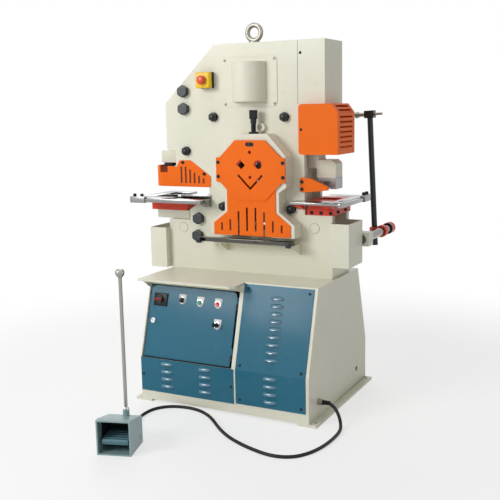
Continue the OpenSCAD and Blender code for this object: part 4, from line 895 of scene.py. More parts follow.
@dataclass
class Studio:
    """The pale floor, the soft light and the camera, in metres."""

    eye: Place = (1.68545, -3.320, 1.300)
    right: Place = (0.89025, 0.45509, -0.01872)
    up: Place = (-0.06026, 0.15843, 0.98553)
    lens: float = 59.33
    floor_half: float = 40.0
    floor_glow: float = 0.62
    floor_fade: Pair = (1.1, 2.6)
    ambient: float = 0.31
    lamps: tuple[Lamp, ...] = (
        Lamp("key", (-2.4, -4.4, 2.8), 0.8, 2.0, 138.0), Lamp("crown", (-0.5, -2.7, 4.6), 0.7, 1.6, 17.0),
        Lamp("fill", (4.0, -2.2, 2.2), 0.8, 2.4, 6.0), Lamp("top", (0.2, 0.4, 4.6), 0.0, 2.6, 20.0),
        Lamp("back", (-2.4, 3.4, 3.2), 0.9, 2.4, 40.0))

    def camera(self) -> None:
        """Stands the camera where the photograph was taken from."""
        x, y = Vector(self.right).normalized(), Vector(self.up).normalized()
        turn = Matrix((x, y, x.cross(y))).transposed().to_4x4()
        data = bpy.data.cameras.new("camera")
        data.lens = self.lens
        data.sensor_width = 36.0
        data.sensor_fit = "HORIZONTAL"
        data.clip_end = 200.0
        made = show("camera", data)
        made.matrix_world = Matrix.Translation(self.eye) @ turn
        bpy.context.scene.camera = made

    def floor(self) -> None:
        """Lays a pale floor that runs out to white."""
        half = self.floor_half
        mesh = bpy.data.meshes.new("studio floor")
        mesh.from_pydata([(-half, -half, 0), (half, -half, 0), (half, half, 0), (-half, half, 0)], [],
                         [(0, 1, 2, 3)])
        graph = Graph(bpy.data.materials.new("studio floor"))
        where = graph.place()
        tone = graph.mix(graph.noise(where, 1.2, 3.0), (0.905, 0.905, 0.900), (0.925, 0.925, 0.922))
        matt = graph.node("ShaderNodeBsdfPrincipled", {}, {"Base Color": tone, "Roughness": 0.55})
        far = graph.node("ShaderNodeVectorMath", {"operation": "LENGTH"}, {0: where}, "Value")
        glow = far.rise(*self.floor_fade) * (1.0 - self.floor_glow) + self.floor_glow
        white = graph.node("ShaderNodeEmission", {}, {"Color": (1.0, 1.0, 1.0), "Strength": 1.0})
        both = graph.node("ShaderNodeMixShader", {}, {0: glow * graph.seen(), 1: matt, 2: white})
        graph.node("ShaderNodeOutputMaterial", {}, {"Surface": both})
        mesh.materials.append(graph.owner)
        show("studio_floor", mesh)

    def light(self) -> None:
        """Lights the room evenly, with a key from the front left."""
        graph = Graph(bpy.data.worlds.new("studio"))
        bpy.context.scene.world = graph.owner
        level = graph.seen() * (1.0 - self.ambient) + self.ambient
        sky = graph.node("ShaderNodeBackground", {}, {"Color": (1.0, 1.0, 1.0), "Strength": level})
        graph.node("ShaderNodeOutputWorld", {}, {"Surface": sky})
        for lamp in self.lamps:
            lamp.hang()
        bpy.context.scene.view_settings.view_transform = "Standard"


@dataclass
class PedalCord:
    """The jacketed cord from the cabinet's gland to the pedal, and its two tapered sleeves."""

    diameter: float = 14.0
    sleeve: float = 34.0
    route: tuple[Place, ...] = (
        (432, -245, 79), (452, -245, 79), (470, -247, 75), (487, -251, 65), (502, -259, 51), (516, -272, 35),
        (529, -292, 20), (540, -320, 10), (547, -355, 7), (550, -400, 7), (549, -450, 7), (544, -500, 7),
        (534, -550, 7), (516, -598, 7), (488, -640, 7), (450, -665, 7), (405, -674, 7), (360, -669, 7),
        (315, -656, 7), (264, -637, 7), (214, -613, 7), (170, -588, 7), (130, -559, 7), (92, -527, 7),
        (58, -494, 7), (20, -456, 7), (-20, -421, 7), (-60, -395, 7), (-100, -378, 7), (-145, -370, 7),
        (-190, -373, 7), (-230, -386, 7), (-262, -410, 7), (-284, -446, 7), (-292, -490, 7), (-289, -540, 7),
        (-278, -590, 10), (-261, -636, 18), (-243, -677, 29), (-227, -713, 37), (-216, -742, 40))

    def points(self) -> list[Vector]:
        """The route as a smooth line through its points.

        Returns:
            The line's points, in metres, none of them under the floor.
        """
        knots = [Vector(p) * MM for p in self.route]
        line: list[Vector] = []
        for i in range(len(knots) - 1):
            before, here, then = knots[max(i - 1, 0)], knots[i], knots[i + 1]
            after = knots[min(i + 2, len(knots) - 1)]
            for t in (0.0, 0.25, 0.5, 0.75):
                line.append(0.5 * (2 * here + (then - before) * t
                                   + (2 * before - 5 * here + 4 * then - after) * t ** 2
                                   + (3 * here - before - 3 * then + after) * t ** 3))
        line.append(knots[-1])
        for p in line:
            p.z = max(p.z, (self.diameter / 2 + 0.1) * MM)
        return line

    def build(self) -> None:
        line = self.points()
        thick = self.diameter * MM
        data = bpy.data.curves.new("cord_jacket", "CURVE")
        data.dimensions = "3D"
        data.bevel_depth = thick / 2
        data.bevel_resolution = 5
        data.use_fill_caps = True
        spline = data.splines.new("POLY")
        spline.points.add(len(line) - 1)
        for point, where in zip(spline.points, line):
            point.co = (*where, 1.0)
        spline.use_smooth = True
        data.materials.append(JACKET.material())
        cord = show("cord_jacket", data)
        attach(cord, "machine")
        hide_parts("pedal_cord")
        sleeves = [self.add_sleeve("cabinet_cord_sleeve", line[0], line[1] - line[0]),
                   self.add_sleeve("pedal_cord_sleeve", line[-1], line[-2] - line[-1])]
        length = sum((b - a).length for a, b in zip(line, line[1:]))
        LOG.info("cord_jacket: %.3f m", length)

    def add_sleeve(self, name: str, end: Vector, way: Vector) -> bpy.types.Object:
        """One tapered sleeve with moulded rings.

        Args:
            name: The piece's name.
            end: The end of the cord.
            way: The cord's direction there, away from the housing.

        Returns:
            The piece.
        """
        profile: list[Pair] = [(7.1, -2), (10.4, -2), (10.4, 5)]
        for i in range(5):
            start, taper = 6 + i * 5.6, 10 - i * 0.35
            profile += [(taper, start), (taper, start + 3.2), (taper - 0.8, start + 3.6),
                        (taper - 0.8, start + 5.2)]
        profile += [(7.6, self.sleeve), (7.1, self.sleeve)]
        place = Matrix.Translation(end) @ pointing(way)
        return Shape().lathe(profile, place, 28).add(name, "machine", BLACK)


@dataclass
class Fasteners:
    """The bolts, nuts and screws that repeat over the machine."""

    nodes: Mapping[str, bpy.types.Object]
    back: float = 157.0
    cap_height: float = 5.5
    dome_x: Pair = (-187.0, 213.0)
    dome_low: float = 1300.0
    tool_screws: tuple[tuple[Place, Place], ...] = (
        ((263, -60, 955), (0, -1, 0)), ((263, -60, 987), (0, -1, 0)), ((302, -46, 853), (0, -1, 0)),
        ((346, -46, 853), (0, -1, 0)), ((390, -46, 853), (0, -1, 0)), ((406, 0, 855), (1, 0, 0)),
        ((406, 90, 855), (1, 0, 0)))

    def build(self) -> None:
        """Makes each kind."""
        self.tie_bolts()
        self.gib_nuts()
        self.screws()

    def on_plate(self, node: str, depth: float, way: Vector) -> list[Stamp]:
        """Places over the solids of a node, on one face of the frame.

        Args:
            node: The node's name.
            depth: Where the face is, in millimetres from front to back.
            way: The face's direction.

        Returns:
            One place for each solid.
        """
        spots = [middle(solid) for solid in islands(self.nodes[node])]
        return [Stamp(Vector((spot.x, depth * MM, spot.z)), way) for spot in spots]

    def tie_bolts(self) -> None:
        """Chamfered hexagon heads with a washer face, on both sides of the frame."""
        head = Shape().lathe([(0, 0), (23.8, 0), (23.8, 1.6), (0, 1.6)], HERE, 36)
        head.loft(hexagon(48, 21.4, 22.9), at(0, 0, 1.6))
        head.lathe([(0, 22.2), (15.5, 22.2), (15.0, 22.96), (0, 22.96)], HERE, 36)
        places = [stamp for pair in zip(self.on_plate("tie_bolts", PLATE_FRONT, FRONT),
                                        self.on_plate("tie_bolts", self.back, -FRONT)) for stamp in pair]
        Repeater.add("tie_bolt_heads", head.mesh("tie head"), places, "machine", TIE, "tie_bolts")

    def gib_nuts(self) -> None:
        """Lock nuts with a domed adjusting stud."""
        nut = Shape().lathe([(0, 0), (20.5, 0), (20.5, 2.5), (0, 2.5)], HERE, 36)
        nut.loft(hexagon(36, 16.5, 17.2), at(0, 0, 2.5))
        stud = Shape().lathe([(0, 18), (12.2, 18), (12.2, 19.0), (11.9, 21.5), (10.8, 24.3), (8.5, 26.7),
                              (5.0, 27.9), (0, 28.0)], HERE, 32)
        places = self.on_plate("gib_adjusters", PLATE_FRONT, FRONT)
        Repeater.add("gib_lock_nuts", nut.mesh("gib nut"), places, "machine", OXIDE, "gib_adjusters")
        Repeater.add("gib_studs", stud.mesh("gib stud", 50.0), places, "machine", STUD, "gib_adjusters")

    def screws(self) -> None:
        """Button heads on the sheets and cap heads on the guards, with a hexagon socket."""
        buttons: list[Stamp] = []
        plain: list[Stamp] = []
        caps = [Stamp(Vector(spot) * MM, Vector(way)) for spot, way in self.tool_screws]
        for solid in islands(self.nodes["fixing_screws"]):
            axis, spot = axis_of(solid), middle(solid)
            reach = solid.reshape(-1, 3) @ np.array(axis)
            tall = float(reach.max() - reach.min())
            dome = spot.z > self.dome_low * MM and self.dome_x[0] < spot.x / MM < self.dome_x[1]
            kind = caps if tall > self.cap_height * MM else plain if dome else buttons
            kind.append(Stamp(spot - axis * tall / 2, axis))
        button = Shape().lathe([(0, 0), (6.0, 0), (6.0, 0.8), (5.5, 2.0), (4.5, 3.1), (3.0, 3.7), (2.1, 3.9),
                                (1.9, 3.7), (1.9, 2.2), (0, 2.0)], HERE, 24).mesh("button head")
        cap = Shape().lathe([(0, 0), (7.9, 0), (7.9, 1.1), (6.4, 1.2), (6.4, 6.2), (5.8, 7.0), (3.6, 7.0),
                             (3.4, 6.7), (3.4, 3.5), (0, 3.2)], HERE, 24).mesh("cap head")
        for name, form, places, finish in (("dome_screws", button.copy(), plain, FORGED),
                                           ("panel_screws", button, buttons, OXIDE),
                                           ("guard_screws", cap, caps, OXIDE)):
            Repeater.add(name, form, places, "machine", finish, "fixing_screws")


@dataclass
class LouvredSheet:
    """A cabinet panel of sheet steel with pressed louvres, bent at the knee where it is tall."""

    name: str
    node: str
    sides: Pair
    ends: Pair
    columns: tuple[float, ...]
    rows: tuple[float, ...]
    sheet: float = 3.0
    hood_half: float = 30.0
    hood_tall: float = 15.0
    hood_out: float = 11.5
    hood_wall: float = 1.2
    mouth: float = 7.0
    overlap: float = 5.0

    def on_sheet(self, x: float, run: float, out: float) -> Vector:
        """A point on the sheet.

        Args:
            x: Its place across.
            run: Its height along the sheet from the knee, negative below it.
            out: Its distance in front of the sheet's back.

        Returns:
            The point, in metres.
        """
        if run <= 0:
            lift = out * math.tan(LEAN / 2) if run > -1e-6 else 0.0
            return Vector((x * MM, (CABINET_FRONT - out) * MM, (KNEE + run + lift) * MM))
        return Vector((x * MM, (CABINET_FRONT + run * math.sin(LEAN) - out * math.cos(LEAN)) * MM,
                       (KNEE + run * math.cos(LEAN) + out * math.sin(LEAN)) * MM))

    def outward(self, run: float) -> Vector:
        """The sheet's outward direction at a height along it."""
        return FRONT if run <= 0 else Vector((0.0, -math.cos(LEAN), math.sin(LEAN)))

    def build(self) -> None:
        """Cuts the sheet and presses the hoods."""
        half = self.hood_half - self.overlap
        low, high = self.ends
        xs = sorted({*self.sides, *(c + s * half for c in self.columns for s in (-1, 1))})
        runs = sorted({low, high, *([0.0] if low < 0 < high else []),
                       *(r + d for r in self.rows for d in (0.0, self.mouth))})
        shape = Shape()
        grid = [[[shape.bm.verts.new(self.on_sheet(x, r, out)) for r in runs] for x in xs]
                for out in (0.0, self.sheet)]
        solid = {(i, j) for i in range(len(xs) - 1) for j in range(len(runs) - 1)
                 if not any(abs(xs[i] - (c - half)) < 1e-3 for c in self.columns)
                 or not any(abs(runs[j] - r) < 1e-3 for r in self.rows)}
        for i, j in solid:
            cell = [(i, j), (i + 1, j), (i + 1, j + 1), (i, j + 1)]
            shape.bm.faces.new([grid[1][a][b] for a, b in cell])
            shape.bm.faces.new([grid[0][a][b] for a, b in reversed(cell)])
            beside = ((i, j - 1), (i + 1, j), (i, j + 1), (i - 1, j))
            for (a, b), (c, d), side in zip(cell, cell[1:] + cell[:1], beside):
                if side not in solid:
                    shape.bm.faces.new([grid[1][a][b], grid[0][a][b], grid[0][c][d], grid[1][c][d]])
        shape.add(self.name, "machine", BLUE, self.node, crease=14.0)
        places = [Stamp(self.on_sheet(c, r, self.sheet), self.outward(r))
                  for c in self.columns for r in self.rows]
        # The hoods wear the lighter blue, a painted highlight.
        Repeater.add(self.name + "_hoods", self.hood(), places, "machine", LIT_HOOD, self.node)

    def hood(self) -> bpy.types.Mesh:
        """One pressed hood: closed at its top and ends, and open below.

        Returns:
            The mesh, with local Z out and local Y up the sheet.
        """
        shape = Shape()
        across, down, sunk = 20, 8, 0.4
        layers = []
        for inset in (0.0, self.hood_wall):
            rows = []
            for k in range(down + 1):
                t = math.pi / 2 * k / down
                row = []
                for u in (2 * i / across - 1 for i in range(across + 1)):
                    swell = math.sqrt(max(0.0, 1 - abs(u) ** 2.4))
                    out = max(0.0, (self.hood_out - inset) * math.sin(t) * swell) - (0.0 if k else sunk)
                    rise = (self.hood_tall * (0.55 + 0.45 * swell) - inset) * math.cos(t)
                    row.append(shape.bm.verts.new((u * (self.hood_half - inset) * MM, rise * MM, out * MM)))
                rows.append(row)
            layers.append(rows)
        face = shape.bm.faces.new
        for layer in layers:
            for k in range(down):
                for i in range(across):
                    face((layer[k][i], layer[k][i + 1], layer[k + 1][i + 1], layer[k + 1][i]))
        outer, inner = layers
        for i in range(across):
            face((outer[down][i], outer[down][i + 1], inner[down][i + 1], inner[down][i]))
            face((outer[0][i], inner[0][i], inner[0][i + 1], outer[0][i + 1]))
        for k in range(down):
            face((outer[k][0], outer[k + 1][0], inner[k + 1][0], inner[k][0]))
            face((outer[k][across], inner[k][across], inner[k + 1][across], outer[k + 1][across]))
        return shape.mesh("pressed hood", 50.0)


@dataclass
class Controls:
    """The switches on the control door, each on its own body."""

    left: float = -404.0
    width: float = 454.0
    low: float = 6.0
    high: float = 330.18
    face: float = 9.0
    isolator: Pair = (0.125, 0.80)
    selector: Pair = (0.375, 0.82)
    start: Pair = (0.58, 0.81)
    stop: Pair = (0.78, 0.81)
    key: Pair = (0.795, 0.53)
    lock: Pair = (0.065, 0.50)

    def spot(self, shares: Pair) -> Matrix:
        """The frame of a switch: local X across, local Y up the door, local Z out of it.

        Args:
            shares: Its place as shares of the door's width and height.

        Returns:
            The matrix.
        """
        x, z = self.left + shares[0] * self.width, self.low + shares[1] * (self.high - self.low)
        return DOOR_SLOPE @ facing(x, self.face, z)

    def build(self) -> None:
        """Makes every switch."""
        self.bezels()
        self.isolator_switch()
        self.push_button("start", self.start, GREEN)
        self.push_button("stop", self.stop, RED)
        self.selector_switch()
        self.key_switch()

    def bezels(self) -> None:
        """Blank legend plates with a round foot, and a turned ring on each."""
        plates, rings = Shape(), Shape()
        arc = [math.pi + math.pi * i / 16 for i in range(17)]
        outline = [(18.5 * math.cos(a), 18.5 * math.sin(a)) for a in arc] + [(18, 26), (-18, 26)]
        rim = [(11.6, 2.0), (15.0, 2.0), (15.0, 6.5), (14.6, 8.2), (13.8, 8.9), (12.0, 9.0), (11.6, 8.6),
               (11.6, 2.0)]
        for shares in (self.selector, self.start, self.stop, self.key):
            plates.prism(outline, 0.1, 2.0, self.spot(shares), 0.4)
            rings.lathe(rim, self.spot(shares))
        plates.add("legend_plates", "door", PLATE, "switch_bezels")
        rings.add("bezel_rings", "door", CHROME, "switch_bezels")

    def isolator_switch(self) -> None:
        """A black base with a stepped collar, a black hub and a red handle."""
        place = self.spot(self.isolator)
        base = Shape().box((-35, -29, 0.1), (35, 29, 6.0), place, 1.8)
        base.lathe([(11.8, 5.8), (23.5, 5.8), (22.8, 7.8), (11.8, 8.0), (11.8, 5.8)], place, 44)
        for x in (-29, 29):
            for y in (-23, 23):
                base.lathe([(0, 5.8), (3.2, 5.8), (3.0, 7.0), (0, 7.3)], place @ at(x, y, 0), 16)
        base.add("isolator_base", "door", BLACK, "switch_bezels")
        hub = Shape().lathe([(0, -26), (11, -26), (11, 8.5), (17, 8.6), (17, 14.0), (15.8, 16.2), (0, 16.5)],
                            place, 44)
        hub.add("isolator_hub", "isolator", BLACK, "isolator_knob")
        grip = [(-21, -3.6), (-18, -5.6), (12, -4.8), (15, -3.2), (15, 3.2), (12, 4.8), (-18, 5.6),
                (-21, 3.6)]
        handle = Shape().prism(grip, 15.0, 24.4, place, 1.4)
        handle.add("isolator_handle", "isolator", GARNET, "isolator_knob")

    def push_button(self, name: str, shares: Pair, finish: Finish) -> None:
        """One flush button with a dished face.

        Args:
            name: Its body and the start of its name.
            shares: Its place on the door.
            finish: Its finish.
        """
        cap = Shape().lathe([(0, -10), (11, -10), (11, 12.8), (10.6, 14.2), (9.6, 14.9), (8.4, 14.8),
                             (6.0, 14.2), (0, 13.9)], self.spot(shares))
        cap.add(f"{name}_cap", name, finish, f"{name}_button")

    def selector_switch(self) -> None:
        """A black turning knob with a grip and a pale pointer."""
        place = self.spot(self.selector)
        knob = Shape().lathe([(0, -26), (11, -26), (11, 9.2), (12.8, 9.4), (12.8, 12.0), (11.6, 13.2),
                              (0, 13.4)], place)
        grip = [(-5, -12.5), (5, -12.5), (5, 10.8), (2.4, 12.5), (-2.4, 12.5), (-5, 10.8)]
        knob.prism(grip, 11.0, 19.0, place, 1.2)
        knob.add("selector_grip", "selector", BLACK, "selector_knob")
        mark = Shape().box((-0.8, 2, 18.95), (0.8, 9.8, 19.2), place)
        mark.add("selector_mark", "selector", PLATE)

    def key_switch(self) -> None:
        """A black barrel with a steel key whose bow has a hole."""
        place = self.spot(self.key)
        barrel = Shape().lathe([(0, -26), (11, -26), (11, 8.4), (10.0, 9.8), (7.0, 10.0), (6.6, 9.0),
                                (0, 9.0)], place)
        barrel.add("key_barrel", "key", BLACK, "key_switch")
        side = place @ Matrix.Rotation(math.pi / 2, 4, "Y") @ Matrix.Rotation(math.pi / 2, 4, "Z")
        key = Shape().prism([(-4, 9), (4, 9), (4, 26), (-4, 26)], -1.2, 1.2, side, 0.3)
        bow = [(10.476, 12.0, 37.5, -1.4), (10.8, 12.5, 37.5, -0.9), (10.8, 12.5, 37.5, 0.9),
               (10.476, 12.0, 37.5, 1.4), (3.2, 3.2, 43.0, 1.4), (3.2, 3.2, 43.0, -1.4)]
        turns = [math.tau * i / 32 for i in range(32)]
        rings = [[Vector((wide * math.cos(a) * MM, (high + tall * math.sin(a)) * MM, z * MM)) for a in turns]
                 for wide, tall, high, z in bow]
        key.loft(rings + rings[:1], side)
        key.add("key_blade", "key", GUNMETAL, "key_switch")


@dataclass
class EmergencyStop:
    """The stop box high on the frame: black base, yellow lid and red mushroom."""

    x: float = -201.0
    z: float = 1431.0
    half: float = 35.0
    corner: float = 6.0

    def build(self) -> None:
        """Makes the base, the lid with its collar, and the mushroom."""
        place = facing(self.x, PLATE_FRONT, self.z)
        base = Shape().box((-self.half, -self.half, 0), (self.half, self.half, 21.5), place, 2.0)
        base.lathe([(11.8, 46.6), (16.2, 46.6), (16.0, 47.5), (11.8, 47.7), (11.8, 46.6)], place, 44)
        base.add("estop_base", "machine", BLACK, "estop_box")
        steps = [(0, 21.5), (0, 22.0), (0, 42.0), (0.6, 44.6), (2.4, 46.4), (4.8, 47.0)]
        lid = Shape().loft([self.rounded(self.half - shrink, high) for shrink, high in steps], place)
        lid.add("estop_lid", "machine", YELLOW, "estop_box")
        cap = Shape().lathe([(0, 30.5), (11, 30.5), (11, 53.0), (18.5, 53.5), (19.8, 55.0), (20.0, 57.5),
                             (19.6, 61.0), (18.2, 64.5), (15.0, 67.4), (10.0, 68.8), (0, 69.0)], place, 48)
        cap.add("estop_mushroom", "estop", SIGNAL, "estop_button")

    def rounded(self, half: float, height: float) -> list[Vector]:
        """A square ring with round corners.

        Args:
            half: Half its side.
            height: Its height.

        Returns:
            The points, in metres.
        """
        out: list[Vector] = []
        flat = half - self.corner
        for k, (sx, sy) in enumerate(((1, 1), (-1, 1), (-1, -1), (1, -1))):
            for i in range(7):
                a = math.pi / 2 * (k + i / 6)
                out.append(Vector(((sx * flat + self.corner * math.cos(a)) * MM,
                                   (sy * flat + self.corner * math.sin(a)) * MM, height * MM)))
        return out


@dataclass
class HoldDown:
    """The shear's hold-down screw: a knurled head on a threaded stem, and its ring nut."""

    x: float = 48.0
    y: float = -86.7
    nut_top: float = 1202.0
    low: float = 1117.14
    turns: int = 11
    pitch: float = 35 / 11
    teeth: int = 44

    def build(self) -> None:
        """Makes the stem, the head and the ring nut."""
        axis = at(self.x, self.y, 0)
        profile: list[Pair] = [(0, self.low), (10.0, self.low), (11.0, self.low + 1)]
        start = self.nut_top + 0.5
        for z in (start + self.pitch * i for i in range(self.turns)):
            profile += [(11.0, z), (11.0, z + self.pitch * 0.3), (9.9, z + self.pitch * 0.5),
                        (9.9, z + self.pitch * 0.7)]
        end = start + self.pitch * self.turns
        stem = Shape().lathe([*profile, (11.0, end), (0, end)], axis, 32)
        stem.add("hold_down_stem", "hold_screw", OXIDE, "hold_down_screw")
        rise = at(self.x, self.y, self.nut_top + 36)
        head = Shape().lathe([(0, 0), (12.2, 0), (13.0, 1), (13.0, 19), (11.8, 20), (0, 20)], rise, 36)
        head.loft([fluted(radius, 0.8, self.teeth, z)
                   for radius, z in ((16.8, 19.8), (18.0, 21.0), (18.0, 56.8), (16.8, 58.0))], rise)
        head.lathe([(0, 57.6), (12.5, 57.6), (11.8, 57.9), (0, 57.9)], rise, 32)
        head.add("hold_down_head", "hold_screw", OXIDE, "hold_down_screw")
        nut = Shape().lathe([(19.2, -7.8), (22.0, -7.8), (22.0, -0.6), (21.0, 0.4), (19.2, 0.4),
                             (19.2, -7.8)], at(self.x, self.y, self.nut_top), 12)
        nut.add("hold_down_ring", "machine", OXIDE)


@dataclass
class FootPedal:
    """The foot pedal's carrying rod with its turned knob, and painted shade inside its housing."""

    pedal: Pair = (-178.0, -844.0)
    turn: float = math.radians(17)
    rod: Pair = (12.0, 52.0)
    foot: float = 140.0
    collar: float = 10.5
    top: float = 706.0
    half: float = 62.4

    def frame(self) -> Matrix:
        """The pedal's own frame on the floor."""
        return at(*self.pedal, 0) @ Matrix.Rotation(self.turn, 4, "Z")

    def carrying_rod(self) -> None:
        """Makes the rod with its knob, and its collar."""
        place = self.frame() @ at(*self.rod, 0)
        low, top = self.foot + self.collar, self.top
        rod = Shape().lathe([(0, low), (7.0, low), (7.0, top - 40), (8.5, top - 34), (12.5, top - 29),
                             (16.8, top - 23), (18.4, top - 16), (17.8, top - 9), (14.8, top - 3.8),
                             (9.0, top - 0.8), (0, top)], place)
        rod.add("carrying_rod", "machine", ROD, "pedal_handle", crease=50.0)
        collar = Shape().lathe([(0, self.foot), (11.5, self.foot), (11.5, low - 2), (10.0, low), (0, low)],
                               place, 32)
        collar.add("rod_collar", "machine", CHROME, "pedal_handle")

    def lining(self) -> None:
        """Painted shade: dark sheets inside the housing's roof, back and sides."""
        place = self.frame() @ SIDEWAYS
        roof = [(-66, 133.9), (-53, 133.9), (69, 103.1), (69, 102.5), (-53, 133.3), (-66, 133.3)]
        back = [(68.4, 7), (68.9, 7), (68.9, 102), (68.4, 102)]
        wall = [(-30, 45), (68, 45), (68, 102), (-30, 126)]
        shape = Shape().prism(roof, -self.half, self.half, place).prism(back, -self.half, self.half, place)
        for x in (-self.half, self.half - 0.5):
            shape.prism(wall, x, x + 0.5, place)
        shape.add("pedal_lining", "machine", PEDAL_INSIDE_SHADE)


@dataclass
class ShearStation:
    """The bar shear: its housing on a shelf, its bar, its guard and what shows through the guard."""

    nodes: Mapping[str, bpy.types.Object]
    shelf: tuple[Place, Place] = ((-120, -115, 707), (250, -46, 715))
    bar: tuple[Place, Place] = ((-218, -139, 715), (246, -103, 733))
    eyes: Place = (48.0, -130.0, 1059.7)
    oval: Place = (48.0, -120.0, 1149.7)
    open_slots: Pair = (-15.0, 111.0)
    slot_half: float = 4.5
    skirt_slots: tuple[Place, ...] = (
        (-57.0, 769.1, 818.7), (153.0, 769.1, 818.7), (-99.0, 769.1, 803.0), (195.0, 769.1, 803.0))

    def housing(self) -> None:
        """The housing as the solid has it, on a plate with two tapered webs, and the bar on it."""
        solid = max(islands(self.nodes["shear_housing"]), key=lambda part: part[..., 2].max())
        corners = solid.reshape(-1, 3)
        mesh = bpy.data.meshes.new("shear_housing_shell")
        mesh.from_pydata(corners.tolist(), [], np.arange(len(corners)).reshape(-1, 3).tolist())
        shell = add_piece("shear_housing_shell", mesh, "machine", CREAM, "shear_housing")
        Dress(CREAM, Bevel.PLATE).apply(shell)
        shelf = Shape().box(*self.shelf, HERE, 1.2)
        for x in (-120, 242):
            shelf.prism([(-115, 707.5), (-46, 707.5), (-46, 663), (-115, 698)], x, x + 8, SIDEWAYS, 1.0)
        shelf.add("shear_shelf", "machine", CREAM, "shear_housing")
        Shape().box(*self.bar, HERE, 1.2).add("shear_bar", "machine", EDGE_BAR, "shear_table")
        ends = Shape()
        for x in (-218, 226):
            ends.box((x, -157, 709), (x + 20, -139, 733.5), HERE, 1.2)
        ends.add("shear_bar_ends", "machine", GUNMETAL, "shear_table")

    def bar_stop(self) -> None:
        """Painted shade: a dark oval sheet in the guard's oval, where shade shows through, and a short dark
        pin that stands for the screw's stem seen there.
        """
        place = facing(*self.oval)
        arc = [math.pi * (i / 12 - 0.5) for i in range(13)]
        outline = [(12 + 8.4 * math.cos(a), 8.4 * math.sin(a)) for a in arc]
        outline += [(-x, -y) for x, y in outline]
        shape = Shape().prism(outline, 0.1, 1.8, place)
        shape.lathe([(0, 1.6), (4.6, 1.6), (4.6, 6.2), (3.4, 7.4), (0, 7.6)], place, 24)
        shape.add("bar_stop", "machine", OXIDE)

    def guard(self) -> None:
        """The guard as the solid has it, with its two long slots run out at its foot."""
        solid, tool = Shape(), Shape()
        solid.bm.from_mesh(self.nodes["shear_guard"].data)
        bmesh.ops.remove_doubles(solid.bm, verts=solid.bm.verts, dist=CAD_WELD)
        for x in self.open_slots:
            tool.box((x - self.slot_half, -140, 740), (x + self.slot_half, -119.5, 775))
        mesh = solid.less(tool, "shear_guard_plates")
        plates = add_piece("shear_guard_plates", mesh, "machine", ORANGE, "shear_guard")
        Dress(ORANGE, Bevel.SHEET).apply(plates)

    def eye_step_shade(self) -> None:
        """Painted shade: thin dark-red pieces on the guard's face for the shaded walls of its stepped
        openings, with rings round its two dots.
        """
        place = facing(*self.eyes)
        shape = Shape().prism([(-60.4, 0), (-42, 18.4), (-44.5, 26.8), (-68.8, 3.5)], 0, 0.3, place)
        arc = [math.radians(30 + 12 * i) for i in range(16)]
        inner = [(42 + 15.1 * math.cos(a), 15.1 * math.sin(a)) for a in arc]
        outer = [(39.5 + 20 * math.cos(a), 4 + 19 * math.sin(a)) for a in reversed(arc)]
        shape.prism(inner + outer, 0, 0.3, place)
        for row in (56.12, -52.2):
            shape.lathe([(5.6, 0), (7.8, 0), (7.8, 0.3), (5.6, 0.3), (5.6, 0)], place @ at(0, row, 0), 28)
        shape.add("guard_eye_steps", "machine", EYE_STEP_SHADE)


